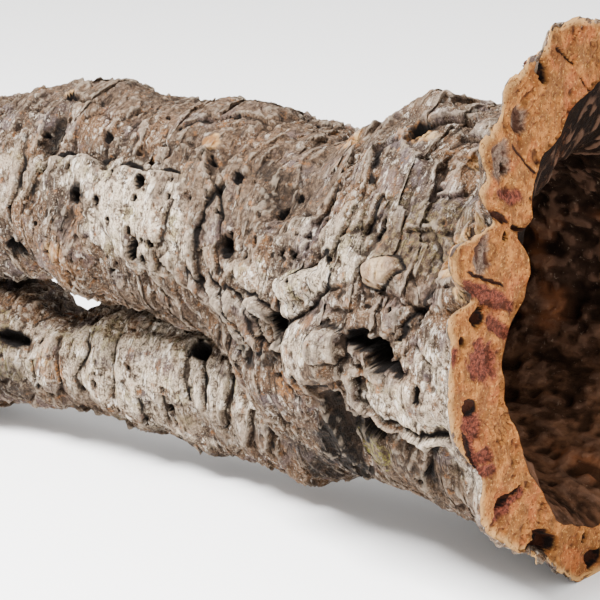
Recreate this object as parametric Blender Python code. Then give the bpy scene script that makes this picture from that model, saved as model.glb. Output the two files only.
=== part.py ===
"""A forked tube of virgin cork bark, lying on its side.

The bark grew as one piece, so it is one solid: a wide sawn mouth at +X, a trunk, and two branch stubs,
one above the other, that are sawn off at -X. All of it is hollow. Metres, +Z up, with the origin on the
floor under the middle.
"""

from itertools import product

import bpy
import numpy as np

# Driving dimensions
LENGTH = 0.400  # from the sawn mouth to the sawn branch ends
MOUTH_RADIUS = 0.116
AXIS_HEIGHT = 0.1175  # of the mouth's centre above the floor
AXIS_OFFSET = 0.0045  # of the mouth's centre from the middle of the outline, away from the viewer
BARK_FACES = 7600  # of the whole outer skin, once its grid is thinned

# Main tube: distance behind the mouth, centre across, centre up, outer radius, wall thickness.
MAIN_TUBE = (
    (-0.020, 0.000, 0.001, 1.05 * MOUTH_RADIUS, 0.034),
    (0.000, 0.000, 0.000, MOUTH_RADIUS, 0.032),
    (0.010, 0.000, -0.008, 0.104, 0.031),
    (0.028, 0.000, -0.012, 0.096, 0.029),
    (0.055, 0.000, -0.009, 0.0935, 0.028),
    (0.080, 0.000, -0.009, 0.089, 0.026),
    (0.110, 0.001, -0.0165, 0.079, 0.025),
    (0.145, 0.001, -0.017, 0.0725, 0.024),
    (0.165, 0.000, -0.007, 0.064, 0.022),
    (0.185, -0.002, 0.003, 0.057, 0.020),
    (0.215, -0.003, 0.005, 0.053, 0.018),
    (0.260, -0.002, 0.008, 0.0505, 0.016),
    (0.300, 0.000, 0.007, 0.048, 0.015),
    (0.340, 0.002, 0.003, 0.045, 0.014),
    (0.400, 0.004, -0.0035, 0.043, 0.014),
    (0.420, 0.004, -0.004, 0.043, 0.014),
)
# Lower branch, in the same terms. Its first rings are buried in the trunk.
LOWER_BRANCH = (
    (0.100, -0.012, -0.048, 0.038, 0.020),
    (0.125, -0.008, -0.058, 0.041, 0.019),
    (0.150, -0.001, -0.068, 0.038, 0.017),
    (0.175, 0.003, -0.072, 0.035, 0.016),
    (0.200, 0.004, -0.072, 0.0335, 0.015),
    (0.240, 0.003, -0.0725, 0.0315, 0.013),
    (0.280, 0.003, -0.075, 0.0285, 0.012),
    (0.300, 0.003, -0.0775, 0.0275, 0.011),
    (0.320, 0.003, -0.076, 0.0295, 0.012),
    (0.345, 0.002, -0.0765, 0.033, 0.014),
    (0.400, 0.000, -0.082, 0.037, 0.015),
    (0.420, 0.000, -0.083, 0.037, 0.015),
)
# Outline of the mouth: angle in degrees (0 away from the viewer, 90 up), outer growth, inner growth.
MOUTH_OUTLINE = (
    (0, -0.005, -0.001),
    (32, -0.001, 0.004),
    (62, 0.003, 0.008),
    (88, 0.003, 0.012),
    (100, 0.0047, 0.013),
    (105, 0.008, 0.0114),
    (111, 0.0155, 0.0105),
    (115, 0.020, 0.0104),
    (118.5, 0.0155, 0.0081),
    (122.5, 0.0197, 0.006),
    (127, 0.0205, 0.0073),
    (131, 0.0205, 0.0089),
    (134.5, 0.0138, 0.0078),
    (138, 0.0152, 0.0065),
    (142.5, 0.018, 0.0024),
    (145.5, 0.008, -0.0016),
    (149.5, 0.0065, 0.001),
    (152, -0.009, 0.006),
    (154.5, -0.004, -0.0045),
    (157, 0.0035, -0.0085),
    (160, 0.013, -0.0117),
    (164, 0.0123, -0.0124),
    (168.3, -0.0029, -0.0116),
    (171.6, 0.0089, -0.008),
    (176.7, 0.0058, -0.002),
    (184.7, 0.0067, 0.0042),
    (190, 0.0075, 0.0043),
    (196, 0.006, 0.0052),
    (201, -0.0006, 0.003),
    (206, -0.0057, 0.0005),
    (215, 0.0069, 0.0011),
    (221, 0.0055, 0.0025),
    (229, 0.001, 0.004),
    (236, -0.0027, 0.0075),
    (245, -0.0022, 0.0114),
    (250, 0.0018, 0.011),
    (264, 0.0045, 0.0125),
    (280, 0.004, 0.008),
    (296, 0.016, 0.003),
    (312, 0.006, 0.003),
    (335, -0.006, -0.003),
)
OUTLINE_FADE = 0.020  # how far behind the mouth that outline has faded by a factor e

# Lumps and hollows of the bark: distance behind the mouth, angle, half length along the tube, half width
# around it, height (negative for a hollow), and how steep its sides are (1 rounded, 0.5 a boulder, 2 a
# swell).
MAIN_LUMPS = (
    (0.032, 112, 0.030, 0.075, -0.012, 1.5),  # the bark sinks behind the rim
    (0.070, 74, 0.036, 0.052, -0.013, 1.2),  # and falls away on the far side
    (0.054, 100, 0.014, 0.030, -0.003, 1.2),
    (0.076, 108, 0.009, 0.009, 0.005, 0.7),  # small knob on the skyline
    (0.096, 106, 0.016, 0.032, 0.002, 1.0),
    (0.119, 104, 0.011, 0.016, 0.0045, 1.0),
    (0.136, 80, 0.036, 0.050, -0.006, 1.2),
    (0.178, 68, 0.018, 0.028, -0.004, 1.2),
    (0.238, 86, 0.036, 0.040, -0.004, 1.2),
    (0.062, 240, 0.022, 0.030, -0.004, 1.5),
    (0.020, 238, 0.016, 0.025, 0.003, 1.5),
    (0.097, 187, 0.021, 0.021, 0.010, 1.0),  # the big knob
    (0.083, 181, 0.008, 0.009, 0.005, 0.7),  # a smooth nodule on it
    (0.108, 165, 0.016, 0.007, 0.006, 0.6),  # tilted bright plate
    (0.058, 161, 0.010, 0.007, 0.005, 0.6),  # tooth-like chip
    (0.060, 205, 0.024, 0.008, -0.007, 1.0),  # recess under the curled ledge
    (0.045, 198, 0.036, 0.006, 0.004, 0.8),  # the curled ledge
    (0.089, 212, 0.010, 0.034, -0.013, 1.0),  # mossy hollow between knob and trunk
    (0.134, 136, 0.015, 0.013, -0.008, 1.0),
    (0.172, 201, 0.016, 0.014, -0.009, 1.2),  # crease where the branches part
    (0.150, 190, 0.018, 0.012, -0.008, 1.2),
    (0.125, 179, 0.016, 0.009, -0.008, 1.2),
    (0.262, 206, 0.020, 0.023, 0.008, 0.8),  # burl on the upper branch
    (0.246, 188, 0.009, 0.010, 0.004, 0.7),
    (0.210, 172, 0.034, 0.024, 0.0025, 0.5),  # raised pale plate
    (0.281, 137, 0.006, 0.018, -0.006, 1.0),  # steep crevice
    (0.268, 98, 0.030, 0.030, 0.002, 1.5),
    (0.345, 90, 0.034, 0.032, -0.004, 1.5),
    (0.235, 265, 0.018, 0.040, -0.004, 1.5),
    (0.286, 240, 0.017, 0.022, -0.013, 1.0),  # window between the branches, upper side
    (0.312, 280, 0.022, 0.030, -0.014, 1.0),
    (0.370, 262, 0.034, 0.022, 0.005, 1.5),  # the branches touch again
    (0.020, 358, 0.036, 0.085, 0.009, 1.5),  # from here on, the side away from the viewer
    (0.018, 305, 0.034, 0.045, 0.007, 1.5),
    (0.070, 336, 0.022, 0.026, -0.007, 1.0),
    (0.120, 30, 0.030, 0.032, 0.007, 1.0),
    (0.136, 338, 0.019, 0.018, 0.008, 0.8),
    (0.165, 12, 0.014, 0.012, -0.007, 1.0),
    (0.216, 322, 0.026, 0.022, 0.006, 1.0),
    (0.262, 18, 0.016, 0.015, 0.005, 0.8),
    (0.325, 340, 0.022, 0.018, 0.005, 1.0),
)
LOWER_LUMPS = (
    (0.152, 262, 0.018, 0.026, 0.005, 1.0),
    (0.286, 108, 0.017, 0.020, -0.005, 1.0),  # window between the branches, lower side
    (0.314, 68, 0.022, 0.026, -0.010, 1.0),
    (0.285, 255, 0.040, 0.028, -0.0045, 1.5),
    (0.212, 250, 0.026, 0.026, 0.004, 1.5),
    (0.370, 88, 0.034, 0.020, 0.004, 1.5),
    (0.257, 165, 0.004, 0.030, -0.003, 1.0),
    (0.295, 170, 0.014, 0.016, 0.003, 0.8),
    (0.335, 200, 0.018, 0.020, 0.003, 1.0),
    (0.395, 268, 0.016, 0.020, 0.006, 0.8),  # what it stands on
    (0.230, 350, 0.024, 0.020, 0.004, 1.0),
)
# Holes: distance behind the mouth, angle, half length, half width, depth.
MAIN_HOLES = (
    (0.055, 182, 0.0070, 0.0085, 0.020),
    (0.067, 207, 0.0060, 0.0050, 0.016),
    (0.122, 177, 0.0050, 0.0060, 0.018),
    (0.070, 120, 0.0050, 0.0040, 0.012),
    (0.010, 139, 0.0080, 0.0040, 0.014),
    (0.213, 185, 0.0035, 0.0050, 0.010),
    (0.157, 162, 0.0035, 0.0050, 0.010),
    (0.252, 168, 0.0050, 0.0035, 0.009),
    (0.300, 207, 0.0070, 0.0040, 0.010),
    (0.134, 137, 0.0070, 0.0050, 0.014),
)
LOWER_HOLES = (
    (0.205, 142, 0.0040, 0.0040, 0.008),
    (0.318, 159, 0.0080, 0.0030, 0.009),
    (0.220, 201, 0.0030, 0.0035, 0.007),
)
RIM_CLEFT = (0.000, 241, 0.0140, 0.0100, 0.0050, 0.011)  # inside the sawn rim, 11 mm below the skin

RING_PITCH = 0.021  # between the raised edges that ring the bark
RING_HEIGHT = 0.0030
RING_FRONT = 0.15  # share of the pitch in which an edge rises
RING_WANDER = 0.016  # how far an edge strays along the tube
RING_STRAY = 0.050  # and over what distance it strays
# Unevenness: size of its bumps, their height, and the seed of its noise.
SWELL = (0.034, 0.0030, 1)
CRUST = (0.015, 0.0013, 2)
BORE_SWELL = (0.026, 0.0020, 3)
STRAY_SEED = 5

# Grids and cutters
MAIN_GRID = (-0.018, 0.418, 150, 168)  # start and end behind the mouth, rings, points around
LOWER_GRID = (0.102, 0.417, 110, 64)
MAIN_BORE_GRID = (-0.019, 0.419, 34, 30)
LOWER_BORE_GRID = (0.104, 0.419, 24, 14)
MAIN_SHARE = 0.72  # of the skin's faces, against the lower branch's
HOLE_SIDES = 8
HOLE_LEVELS = ((0.6, 0.75), (-0.1, 1.0), (-0.7, 0.7))  # height of a hole's rings in depths, spread in widths
FAR = 0.5  # past everything


def through_rows(table, at, period=None):
    """A smooth curve through the table's rows, read at each value of AT; PERIOD closes it on itself."""
    rows = np.array(table, float)
    keys, values = rows[:, 0], rows[:, 1:]
    if period:
        keys = np.concatenate([[keys[-1] - period], keys, keys[:2] + period])
        values = np.concatenate([values[-1:], values, values[:2]])
        at = np.mod(at, period)
    slopes = np.gradient(values, keys, axis=0)
    row = np.clip(np.searchsorted(keys, at, side="right") - 1, 0, len(keys) - 2)
    gap = (keys[row + 1] - keys[row])[..., None]
    t = np.clip((at - keys[row])[..., None] / gap, 0, 1)
    start = (1 + 2 * t) * (1 - t) ** 2 * values[row] + t * (1 - t) ** 2 * gap * slopes[row]
    end = t * t * (3 - 2 * t) * values[row + 1] - t * t * (1 - t) * gap * slopes[row + 1]
    return start + end


def noise(points, cell, seed):
    """Smooth unevenness from -1 to 1 whose bumps are about CELL across: a random value at each corner of a
    lattice, blended in between."""
    scaled = points / cell
    corner = np.floor(scaled).astype(np.int64)
    blend = scaled - corner
    blend = blend * blend * (3 - 2 * blend)
    total = 0
    for step in product((0, 1), repeat=3):
        x, y, z = np.moveaxis(corner + step, -1, 0)
        mixed = (x * 73856093 ^ y * 19349663 ^ z * 83492791 ^ seed * 2654435) & 0xFFFFFFFF
        mixed = ((mixed ^ mixed >> 15) * 1274126177) & 0xFFFFFFFF
        value = (mixed ^ mixed >> 13) % 4096 / 2047.5 - 1
        total = total + value * np.prod(np.where(step, blend, 1 - blend), axis=-1)
    return total


def lumps(table, behind, angle, radius):
    """Sum of the table's lumps: each falls from its middle as (1 - r^2) to the power of its steepness."""
    total = 0
    for at, middle, along, around, height, steep in table:
        turn = np.radians((angle - middle + 180) % 360 - 180)
        r2 = ((behind - at) / along) ** 2 + (turn * radius / around) ** 2
        total = total + height * np.clip(1 - r2, 0, 1) ** steep
    return total


def rings(behind, wander):
    """Raised edges that ring the bark, each steep on the mouth's side and tapering away from it."""
    turns = (behind + RING_WANDER * wander) / RING_PITCH
    phase = turns - np.floor(turns)
    return RING_HEIGHT * (np.minimum(phase / RING_FRONT, 1) * (1 - phase) - 0.4)


def on_tube(behind, angle, centre, radius):
    """Points at a radius from the tube's centre line."""
    turn = np.radians(angle)
    across = centre[..., 0] + radius * np.cos(turn)
    up = centre[..., 1] + radius * np.sin(turn)
    return np.stack([LENGTH / 2 - behind, across + AXIS_OFFSET, up + AXIS_HEIGHT], axis=-1)


def weathered(behind, angle, rows, radius, table):
    """The bark's own surface: the plain tube, plus rings, unevenness and the lumps of its table."""
    plain = on_tube(behind, angle, rows, radius)
    radius = radius + rings(behind, noise(plain, RING_STRAY, STRAY_SEED))
    for cell, height, seed in (SWELL, CRUST):
        radius = radius + height * noise(plain, cell, seed)
    return on_tube(behind, angle, rows, radius + lumps(table, behind, angle, rows[..., 2]))


def main_skin(behind, angle):
    rows = through_rows(MAIN_TUBE, behind)
    flare = np.exp(-np.maximum(behind, 0) / OUTLINE_FADE)
    radius = rows[..., 2] + flare * through_rows(MOUTH_OUTLINE, angle, 360)[..., 0]
    return weathered(behind, angle, rows, radius, MAIN_LUMPS)


def lower_skin(behind, angle):
    rows = through_rows(LOWER_BRANCH, behind)
    return weathered(behind, angle, rows, rows[..., 2], LOWER_LUMPS)


def bore(behind, angle, rows, radius):
    cell, height, seed = BORE_SWELL
    plain = on_tube(behind, angle, rows, radius)
    return on_tube(behind, angle, rows, radius + height * noise(plain, cell, seed))


def main_bore(behind, angle):
    rows = through_rows(MAIN_TUBE, behind)
    flare = np.exp(-np.maximum(behind, 0) / OUTLINE_FADE)
    inner = rows[..., 2] - rows[..., 3] + flare * through_rows(MOUTH_OUTLINE, angle, 360)[..., 1]
    return bore(behind, angle, rows, inner)


def lower_bore(behind, angle):
    rows = through_rows(LOWER_BRANCH, behind)
    return bore(behind, angle, rows, rows[..., 2] - rows[..., 3])


def add_object(name, points, faces):
    mesh = bpy.data.meshes.new(name)
    mesh.from_pydata(points.tolist(), [], faces)
    mesh.shade_smooth()
    obj = bpy.data.objects.new(name, mesh)
    bpy.context.scene.collection.objects.link(obj)
    return obj


def add_tube(name, surface, start, end, ring_count, side_count):
    """A closed tube of the given surface, from START to END behind the mouth."""
    behind, angle = np.meshgrid(
        np.linspace(start, end, ring_count), np.arange(side_count) * 360 / side_count, indexing="ij"
    )
    index = np.arange(ring_count * side_count).reshape(ring_count, side_count)
    beside = np.roll(index, -1, axis=1)
    quads = np.stack([index[:-1], index[1:], beside[1:], beside[:-1]], axis=-1).reshape(-1, 4)
    faces = quads.tolist() + [index[0].tolist(), index[-1, ::-1].tolist()]
    return add_object(name, surface(behind, angle).reshape(-1, 3), faces)


def add_box(name, low, high):
    corners = np.array(list(product(*zip(low, high))), float)
    faces = [(0, 1, 3, 2), (4, 6, 7, 5), (0, 4, 5, 1), (2, 3, 7, 6), (0, 2, 6, 4), (1, 5, 7, 3)]
    return add_object(name, corners, faces)


def add_hole(name, surface, at, angle, along, around, depth, below=0):
    """A faceted ball pressed into the bark, or set BELOW its skin: as long, wide and deep as the hole."""
    turn = np.radians(angle)
    outwards = np.array([0, np.cos(turn), np.sin(turn)])
    middle = surface(np.array(at), np.array(float(angle))) - outwards * below
    sideways = np.array([0, -np.sin(turn), np.cos(turn)])
    points = [middle + outwards * depth, middle - outwards * depth]
    for level, spread in HOLE_LEVELS:
        for step in 2 * np.pi * np.arange(HOLE_SIDES) / HOLE_SIDES + 0.4 * level:
            offset = [along * spread * np.cos(step), 0, 0] + sideways * around * spread * np.sin(step)
            points.append(middle + offset + outwards * depth * level)
    first = [2 + HOLE_SIDES * level for level in range(len(HOLE_LEVELS))]
    faces = []
    for k in range(HOLE_SIDES):
        beside = (k + 1) % HOLE_SIDES
        faces += [(0, first[0] + beside, first[0] + k), (1, first[-1] + k, first[-1] + beside)]
        faces += [(a + beside, b + beside, b + k, a + k) for a, b in zip(first, first[1:])]
    return add_object(name, np.array(points), faces)


def material(name, colour, roughness):
    made = bpy.data.materials.new(name)
    made.use_nodes = True
    shader = made.node_tree.nodes["Principled BSDF"]
    shader.inputs["Base Color"].default_value = (*colour, 1)
    shader.inputs["Roughness"].default_value = roughness
    return made


def clear_scene():
    for obj in list(bpy.data.objects):
        bpy.data.objects.remove(obj)


def add_cutters():
    """The bores, the saw cuts, the floor that flattens the lowest points, and the holes."""
    reach = LENGTH / 2
    cutters = [
        add_tube("cut_main_bore", main_bore, *MAIN_BORE_GRID),
        add_tube("cut_lower_bore", lower_bore, *LOWER_BORE_GRID),
        add_box("cut_mouth", (reach, -FAR, -FAR), (FAR, FAR, FAR)),
        add_box("cut_branch_ends", (-FAR, -FAR, -FAR), (-reach, FAR, FAR)),
        add_box("cut_floor", (-FAR, -FAR, -FAR), (FAR, FAR, 0)),
        add_hole("cut_rim_cleft", main_skin, *RIM_CLEFT),
    ]
    for number, hole in enumerate(MAIN_HOLES):
        cutters.append(add_hole(f"cut_main_hole_{number}", main_skin, *hole))
    for number, hole in enumerate(LOWER_HOLES):
        cutters.append(add_hole(f"cut_lower_hole_{number}", lower_skin, *hole))
    group = bpy.data.collections.new("cutters")
    bpy.context.scene.collection.children.link(group)
    for cutter in cutters:
        hide(cutter)
        group.objects.link(cutter)
        bpy.context.scene.collection.objects.unlink(cutter)
    return group


def hide(helper):
    helper.hide_render = True
    helper.display_type = "WIRE"


def thin(obj, faces_left):
    modifier = obj.modifiers.new("thin", "DECIMATE")
    modifier.ratio = faces_left / (2 * len(obj.data.polygons))


def boolean(obj, operation, name):
    modifier = obj.modifiers.new(name, "BOOLEAN")
    modifier.operation = operation
    return modifier


def main():
    clear_scene()
    bark = add_tube("cork_bark", main_skin, *MAIN_GRID)
    lower = add_tube("lower_branch", lower_skin, *LOWER_GRID)
    thin(bark, MAIN_SHARE * BARK_FACES)
    thin(lower, (1 - MAIN_SHARE) * BARK_FACES)
    hide(lower)
    boolean(bark, "UNION", "join_branch").object = lower
    cut = boolean(bark, "DIFFERENCE", "hollow_and_saw")
    cut.operand_type = "COLLECTION"
    cut.collection = add_cutters()
    bark.data.materials.append(material("weathered_cork_bark", (0.30, 0.26, 0.22), 0.9))


main()
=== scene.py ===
"""Looks of a forked tube of virgin cork bark that lies on its side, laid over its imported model.

The bark is one natural piece, drawn here as fine skins: the weathered outside, the two hollows, and the
sawn faces between them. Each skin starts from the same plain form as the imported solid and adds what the
solid is too coarse for: cracked plates, ledges, borer holes, crumb and wrinkles.
"""

import logging
from dataclasses import dataclass
from enum import Enum
from itertools import product

import bpy
import numpy as np
from mathutils import Matrix, Vector


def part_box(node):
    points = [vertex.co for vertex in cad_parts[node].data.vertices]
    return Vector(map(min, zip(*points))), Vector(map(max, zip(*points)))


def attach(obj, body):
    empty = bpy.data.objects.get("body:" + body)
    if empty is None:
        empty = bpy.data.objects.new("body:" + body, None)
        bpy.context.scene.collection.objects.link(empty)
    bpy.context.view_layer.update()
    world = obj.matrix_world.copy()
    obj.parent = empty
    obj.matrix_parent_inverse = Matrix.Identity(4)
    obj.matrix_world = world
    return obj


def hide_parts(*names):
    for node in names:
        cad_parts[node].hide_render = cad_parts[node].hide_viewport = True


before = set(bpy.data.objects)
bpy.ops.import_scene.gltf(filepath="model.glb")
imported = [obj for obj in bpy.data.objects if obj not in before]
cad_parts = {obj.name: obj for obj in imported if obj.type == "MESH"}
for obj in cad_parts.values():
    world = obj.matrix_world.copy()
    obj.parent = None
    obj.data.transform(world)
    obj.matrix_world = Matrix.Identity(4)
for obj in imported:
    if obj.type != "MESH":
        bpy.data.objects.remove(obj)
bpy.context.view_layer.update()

NODE = "cork_bark"
BODY = "root"
MM = 0.001
LOG = logging.getLogger("bark")

# Driving dimensions, in metres
LOW_CORNER, HIGH_CORNER = (np.array(corner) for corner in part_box(NODE))
LENGTH = float(HIGH_CORNER[0] - LOW_CORNER[0])
MOUTH_RADIUS = 0.116
AXIS_HEIGHT = 0.1175  # of the mouth's centre above the floor
AXIS_OFFSET = 0.0045  # of the mouth's centre from the middle of the outline

# Main tube: distance behind the mouth, centre across, centre up, outer radius, wall thickness.
MAIN_ROWS = (
    (-0.020, 0.000, 0.001, 1.05 * MOUTH_RADIUS, 0.034),
    (0.000, 0.000, 0.000, MOUTH_RADIUS, 0.032),
    (0.010, 0.000, -0.008, 0.104, 0.031),
    (0.028, 0.000, -0.012, 0.096, 0.029),
    (0.055, 0.000, -0.009, 0.0935, 0.028),
    (0.080, 0.000, -0.009, 0.089, 0.026),
    (0.110, 0.001, -0.0165, 0.079, 0.025),
    (0.145, 0.001, -0.017, 0.0725, 0.024),
    (0.165, 0.000, -0.007, 0.064, 0.022),
    (0.185, -0.002, 0.003, 0.057, 0.020),
    (0.215, -0.003, 0.005, 0.053, 0.018),
    (0.260, -0.002, 0.008, 0.0505, 0.016),
    (0.300, 0.000, 0.007, 0.048, 0.015),
    (0.340, 0.002, 0.003, 0.045, 0.014),
    (0.400, 0.004, -0.0035, 0.043, 0.014),
    (0.420, 0.004, -0.004, 0.043, 0.014),
)
# Lower branch, in the same terms. Its first rings are buried in the trunk.
LOWER_ROWS = (
    (0.100, -0.012, -0.048, 0.038, 0.020),
    (0.125, -0.008, -0.058, 0.041, 0.019),
    (0.150, -0.001, -0.068, 0.038, 0.017),
    (0.175, 0.003, -0.072, 0.035, 0.016),
    (0.200, 0.004, -0.072, 0.0335, 0.015),
    (0.240, 0.003, -0.0725, 0.0315, 0.013),
    (0.280, 0.003, -0.075, 0.0285, 0.012),
    (0.300, 0.003, -0.0775, 0.0275, 0.011),
    (0.320, 0.003, -0.076, 0.0295, 0.012),
    (0.345, 0.002, -0.0765, 0.033, 0.014),
    (0.400, 0.000, -0.082, 0.037, 0.015),
    (0.420, 0.000, -0.083, 0.037, 0.015),
)
# Outline of the mouth: angle in degrees (0 away from the viewer, 90 up), outer growth, inner growth.
MOUTH_OUTLINE = (
    (0, -0.005, -0.001),
    (32, -0.001, 0.004),
    (62, 0.003, 0.008),
    (88, 0.003, 0.012),
    (100, 0.0047, 0.013),
    (105, 0.008, 0.0114),
    (111, 0.0155, 0.0105),
    (115, 0.020, 0.0104),
    (118.5, 0.0155, 0.0081),
    (122.5, 0.0197, 0.006),
    (127, 0.0205, 0.0073),
    (131, 0.0205, 0.0089),
    (134.5, 0.0138, 0.0078),
    (138, 0.0152, 0.0065),
    (142.5, 0.018, 0.0024),
    (145.5, 0.008, -0.0016),
    (149.5, 0.0065, 0.001),
    (152, -0.009, 0.006),
    (154.5, -0.004, -0.0045),
    (157, 0.0035, -0.0085),
    (160, 0.013, -0.0117),
    (164, 0.0123, -0.0124),
    (168.3, -0.0029, -0.0116),
    (171.6, 0.0089, -0.008),
    (176.7, 0.0058, -0.002),
    (184.7, 0.0067, 0.0042),
    (190, 0.0075, 0.0043),
    (196, 0.006, 0.0052),
    (201, -0.0006, 0.003),
    (206, -0.0057, 0.0005),
    (215, 0.0069, 0.0011),
    (221, 0.0055, 0.0025),
    (229, 0.001, 0.004),
    (236, -0.0027, 0.0075),
    (245, -0.0022, 0.0114),
    (250, 0.0018, 0.011),
    (264, 0.0045, 0.0125),
    (280, 0.004, 0.008),
    (296, 0.016, 0.003),
    (312, 0.006, 0.003),
    (335, -0.006, -0.003),
)
OUTLINE_FADE = 0.020  # how far behind the mouth that outline has faded by a factor e

# Lumps and hollows: distance behind the mouth, angle, half length along the tube, half width around it,
# height (negative for a hollow), and how steep the sides are (1 rounded, 0.5 a boulder, 2 a swell).
MAIN_LUMPS = (
    (0.032, 112, 0.030, 0.075, -0.012, 1.5),  # the bark sinks behind the rim
    (0.070, 74, 0.036, 0.052, -0.013, 1.2),  # and falls away on the far side
    (0.054, 100, 0.014, 0.030, -0.003, 1.2),
    (0.076, 108, 0.009, 0.009, 0.005, 0.7),  # small knob on the skyline
    (0.096, 106, 0.016, 0.032, 0.002, 1.0),
    (0.119, 104, 0.011, 0.016, 0.0045, 1.0),
    (0.136, 80, 0.036, 0.050, -0.006, 1.2),
    (0.178, 68, 0.018, 0.028, -0.004, 1.2),
    (0.238, 86, 0.036, 0.040, -0.004, 1.2),
    (0.062, 240, 0.022, 0.030, -0.004, 1.5),
    (0.020, 238, 0.016, 0.025, 0.003, 1.5),
    (0.097, 187, 0.021, 0.021, 0.010, 1.0),  # the big knob
    (0.083, 181, 0.008, 0.009, 0.005, 0.7),  # a smooth nodule on it
    (0.108, 165, 0.016, 0.007, 0.006, 0.6),  # tilted bright plate
    (0.058, 161, 0.010, 0.007, 0.005, 0.6),  # tooth-like chip
    (0.060, 205, 0.024, 0.008, -0.007, 1.0),  # recess under the curled ledge
    (0.045, 198, 0.036, 0.006, 0.004, 0.8),  # the curled ledge
    (0.089, 212, 0.010, 0.034, -0.013, 1.0),  # mossy hollow between knob and trunk
    (0.134, 136, 0.015, 0.013, -0.008, 1.0),
    (0.172, 201, 0.016, 0.014, -0.009, 1.2),  # crease where the branches part
    (0.150, 190, 0.018, 0.012, -0.008, 1.2),
    (0.125, 179, 0.016, 0.009, -0.008, 1.2),
    (0.262, 206, 0.020, 0.023, 0.008, 0.8),  # burl on the upper branch
    (0.246, 188, 0.009, 0.010, 0.004, 0.7),
    (0.210, 172, 0.034, 0.024, 0.0025, 0.5),  # raised pale plate
    (0.281, 137, 0.006, 0.018, -0.006, 1.0),  # steep crevice
    (0.268, 98, 0.030, 0.030, 0.002, 1.5),
    (0.345, 90, 0.034, 0.032, -0.004, 1.5),
    (0.235, 265, 0.018, 0.040, -0.004, 1.5),
    (0.286, 240, 0.017, 0.022, -0.013, 1.0),  # window between the branches, upper side
    (0.312, 280, 0.022, 0.030, -0.014, 1.0),
    (0.370, 262, 0.034, 0.022, 0.005, 1.5),  # the branches touch again
    (0.020, 358, 0.036, 0.085, 0.009, 1.5),  # from here on, the side away from the viewer
    (0.018, 305, 0.034, 0.045, 0.007, 1.5),
    (0.070, 336, 0.022, 0.026, -0.007, 1.0),
    (0.120, 30, 0.030, 0.032, 0.007, 1.0),
    (0.136, 338, 0.019, 0.018, 0.008, 0.8),
    (0.165, 12, 0.014, 0.012, -0.007, 1.0),
    (0.216, 322, 0.026, 0.022, 0.006, 1.0),
    (0.262, 18, 0.016, 0.015, 0.005, 0.8),
    (0.325, 340, 0.022, 0.018, 0.005, 1.0),
)
LOWER_LUMPS = (
    (0.152, 262, 0.018, 0.026, 0.005, 1.0),
    (0.286, 108, 0.017, 0.020, -0.005, 1.0),  # window between the branches, lower side
    (0.314, 68, 0.022, 0.026, -0.010, 1.0),
    (0.285, 255, 0.040, 0.028, -0.0045, 1.5),
    (0.212, 250, 0.026, 0.026, 0.004, 1.5),
    (0.370, 88, 0.034, 0.020, 0.004, 1.5),
    (0.257, 165, 0.004, 0.030, -0.003, 1.0),
    (0.295, 170, 0.014, 0.016, 0.003, 0.8),
    (0.335, 200, 0.018, 0.020, 0.003, 1.0),
    (0.395, 268, 0.016, 0.020, 0.006, 0.8),  # what it stands on
    (0.230, 350, 0.024, 0.020, 0.004, 1.0),
)

# Holes: millimetres behind the mouth, angle, half length, half width and depth in millimetres.
MAIN_HOLES = (
    (55, 182, 7, 8.5, 19),
    (65, 180, 7, 5, 13),
    (46, 184, 4, 3.4, 8),
    (67, 207, 6, 5, 15),
    (122, 177, 5, 6, 17),
    (70, 120, 5, 4, 11),
    (10, 139, 8, 4, 13),
    (213, 185, 3.5, 5, 10),
    (157, 162, 3.5, 5, 10),
    (252, 168, 5, 3.5, 9),
    (300, 207, 7, 4, 10),
    (134, 140, 2.0, 4.2, 6),
    (129, 133, 1.6, 2.4, 5),
    (244, 134, 2.6, 2.4, 5),
    (283, 112, 2, 3, 5),
    (237, 167, 2.4, 2.4, 5),
    (214, 153, 2.8, 3, 7),
    (184, 109, 1.8, 2, 4),
    (163, 136, 2.2, 2.6, 6),
    (227, 174, 1.3, 1.4, 4),
    (215, 176, 1.3, 2, 4),
    (200, 179, 1.8, 1.8, 5),
    (214, 161, 1.3, 1.3, 4),
    (197, 150, 1.1, 1.2, 3),
    (195, 158, 1.3, 1.3, 4),
    (184, 155, 1.3, 1.5, 4),
    (201, 134, 1.4, 1.4, 4),
    (205, 124, 1.4, 1.4, 4),
    (196, 188, 1.8, 2, 5),
    (170, 145, 1.4, 1.6, 4),
    (167, 152, 1.3, 1.3, 4),
    (158, 156, 1.2, 1.4, 4),
    (143, 158, 1.8, 2, 5),
    (139, 152, 1.3, 1.4, 4),
    (172, 183, 1.6, 1.6, 5),
    (115, 156, 2.2, 1.8, 6),
    (108, 132, 1.6, 1.6, 5),
    (45, 121, 1.6, 1.1, 4),
    (116, 119, 1.4, 1.4, 4),
    (46, 137, 1.3, 1.2, 4),
    (66, 153, 2.0, 2.4, 6),
    (64, 149, 1.4, 1.8, 6),
    (72, 145, 1.1, 1.2, 4),
    (88, 173, 1.2, 1.2, 4),
    (101, 184, 1.1, 1.2, 3),
    (104, 192, 1.6, 1.8, 4),
    (50, 170, 1.2, 1.2, 4),
    (32, 187, 1.6, 3.4, 4),
    (11, 183, 1.4, 3.0, 4),
    (3, 171, 1.3, 1.6, 4),
    (40, 211, 1.6, 2.2, 5),
    (47, 217, 2.4, 2.2, 6),
)
LOWER_HOLES = (
    (205, 142, 4, 4, 8),
    (318, 159, 8, 3, 9),
    (220, 201, 3, 3.5, 7),
    (242, 168, 1.6, 1.6, 4),
    (221, 180, 1.2, 1.2, 4),
    (238, 217, 1.2, 1.2, 4),
    (184, 194, 1.3, 1.3, 4),
)

RING_PITCH = 0.021  # between the raised edges that ring the bark
RING_HEIGHT = 0.0030
RING_FRONT = 0.15  # share of the pitch in which an edge rises
RING_WANDER = 0.016  # how far an edge strays along the tube
RING_STRAY = 0.050  # and over what distance it strays
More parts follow.
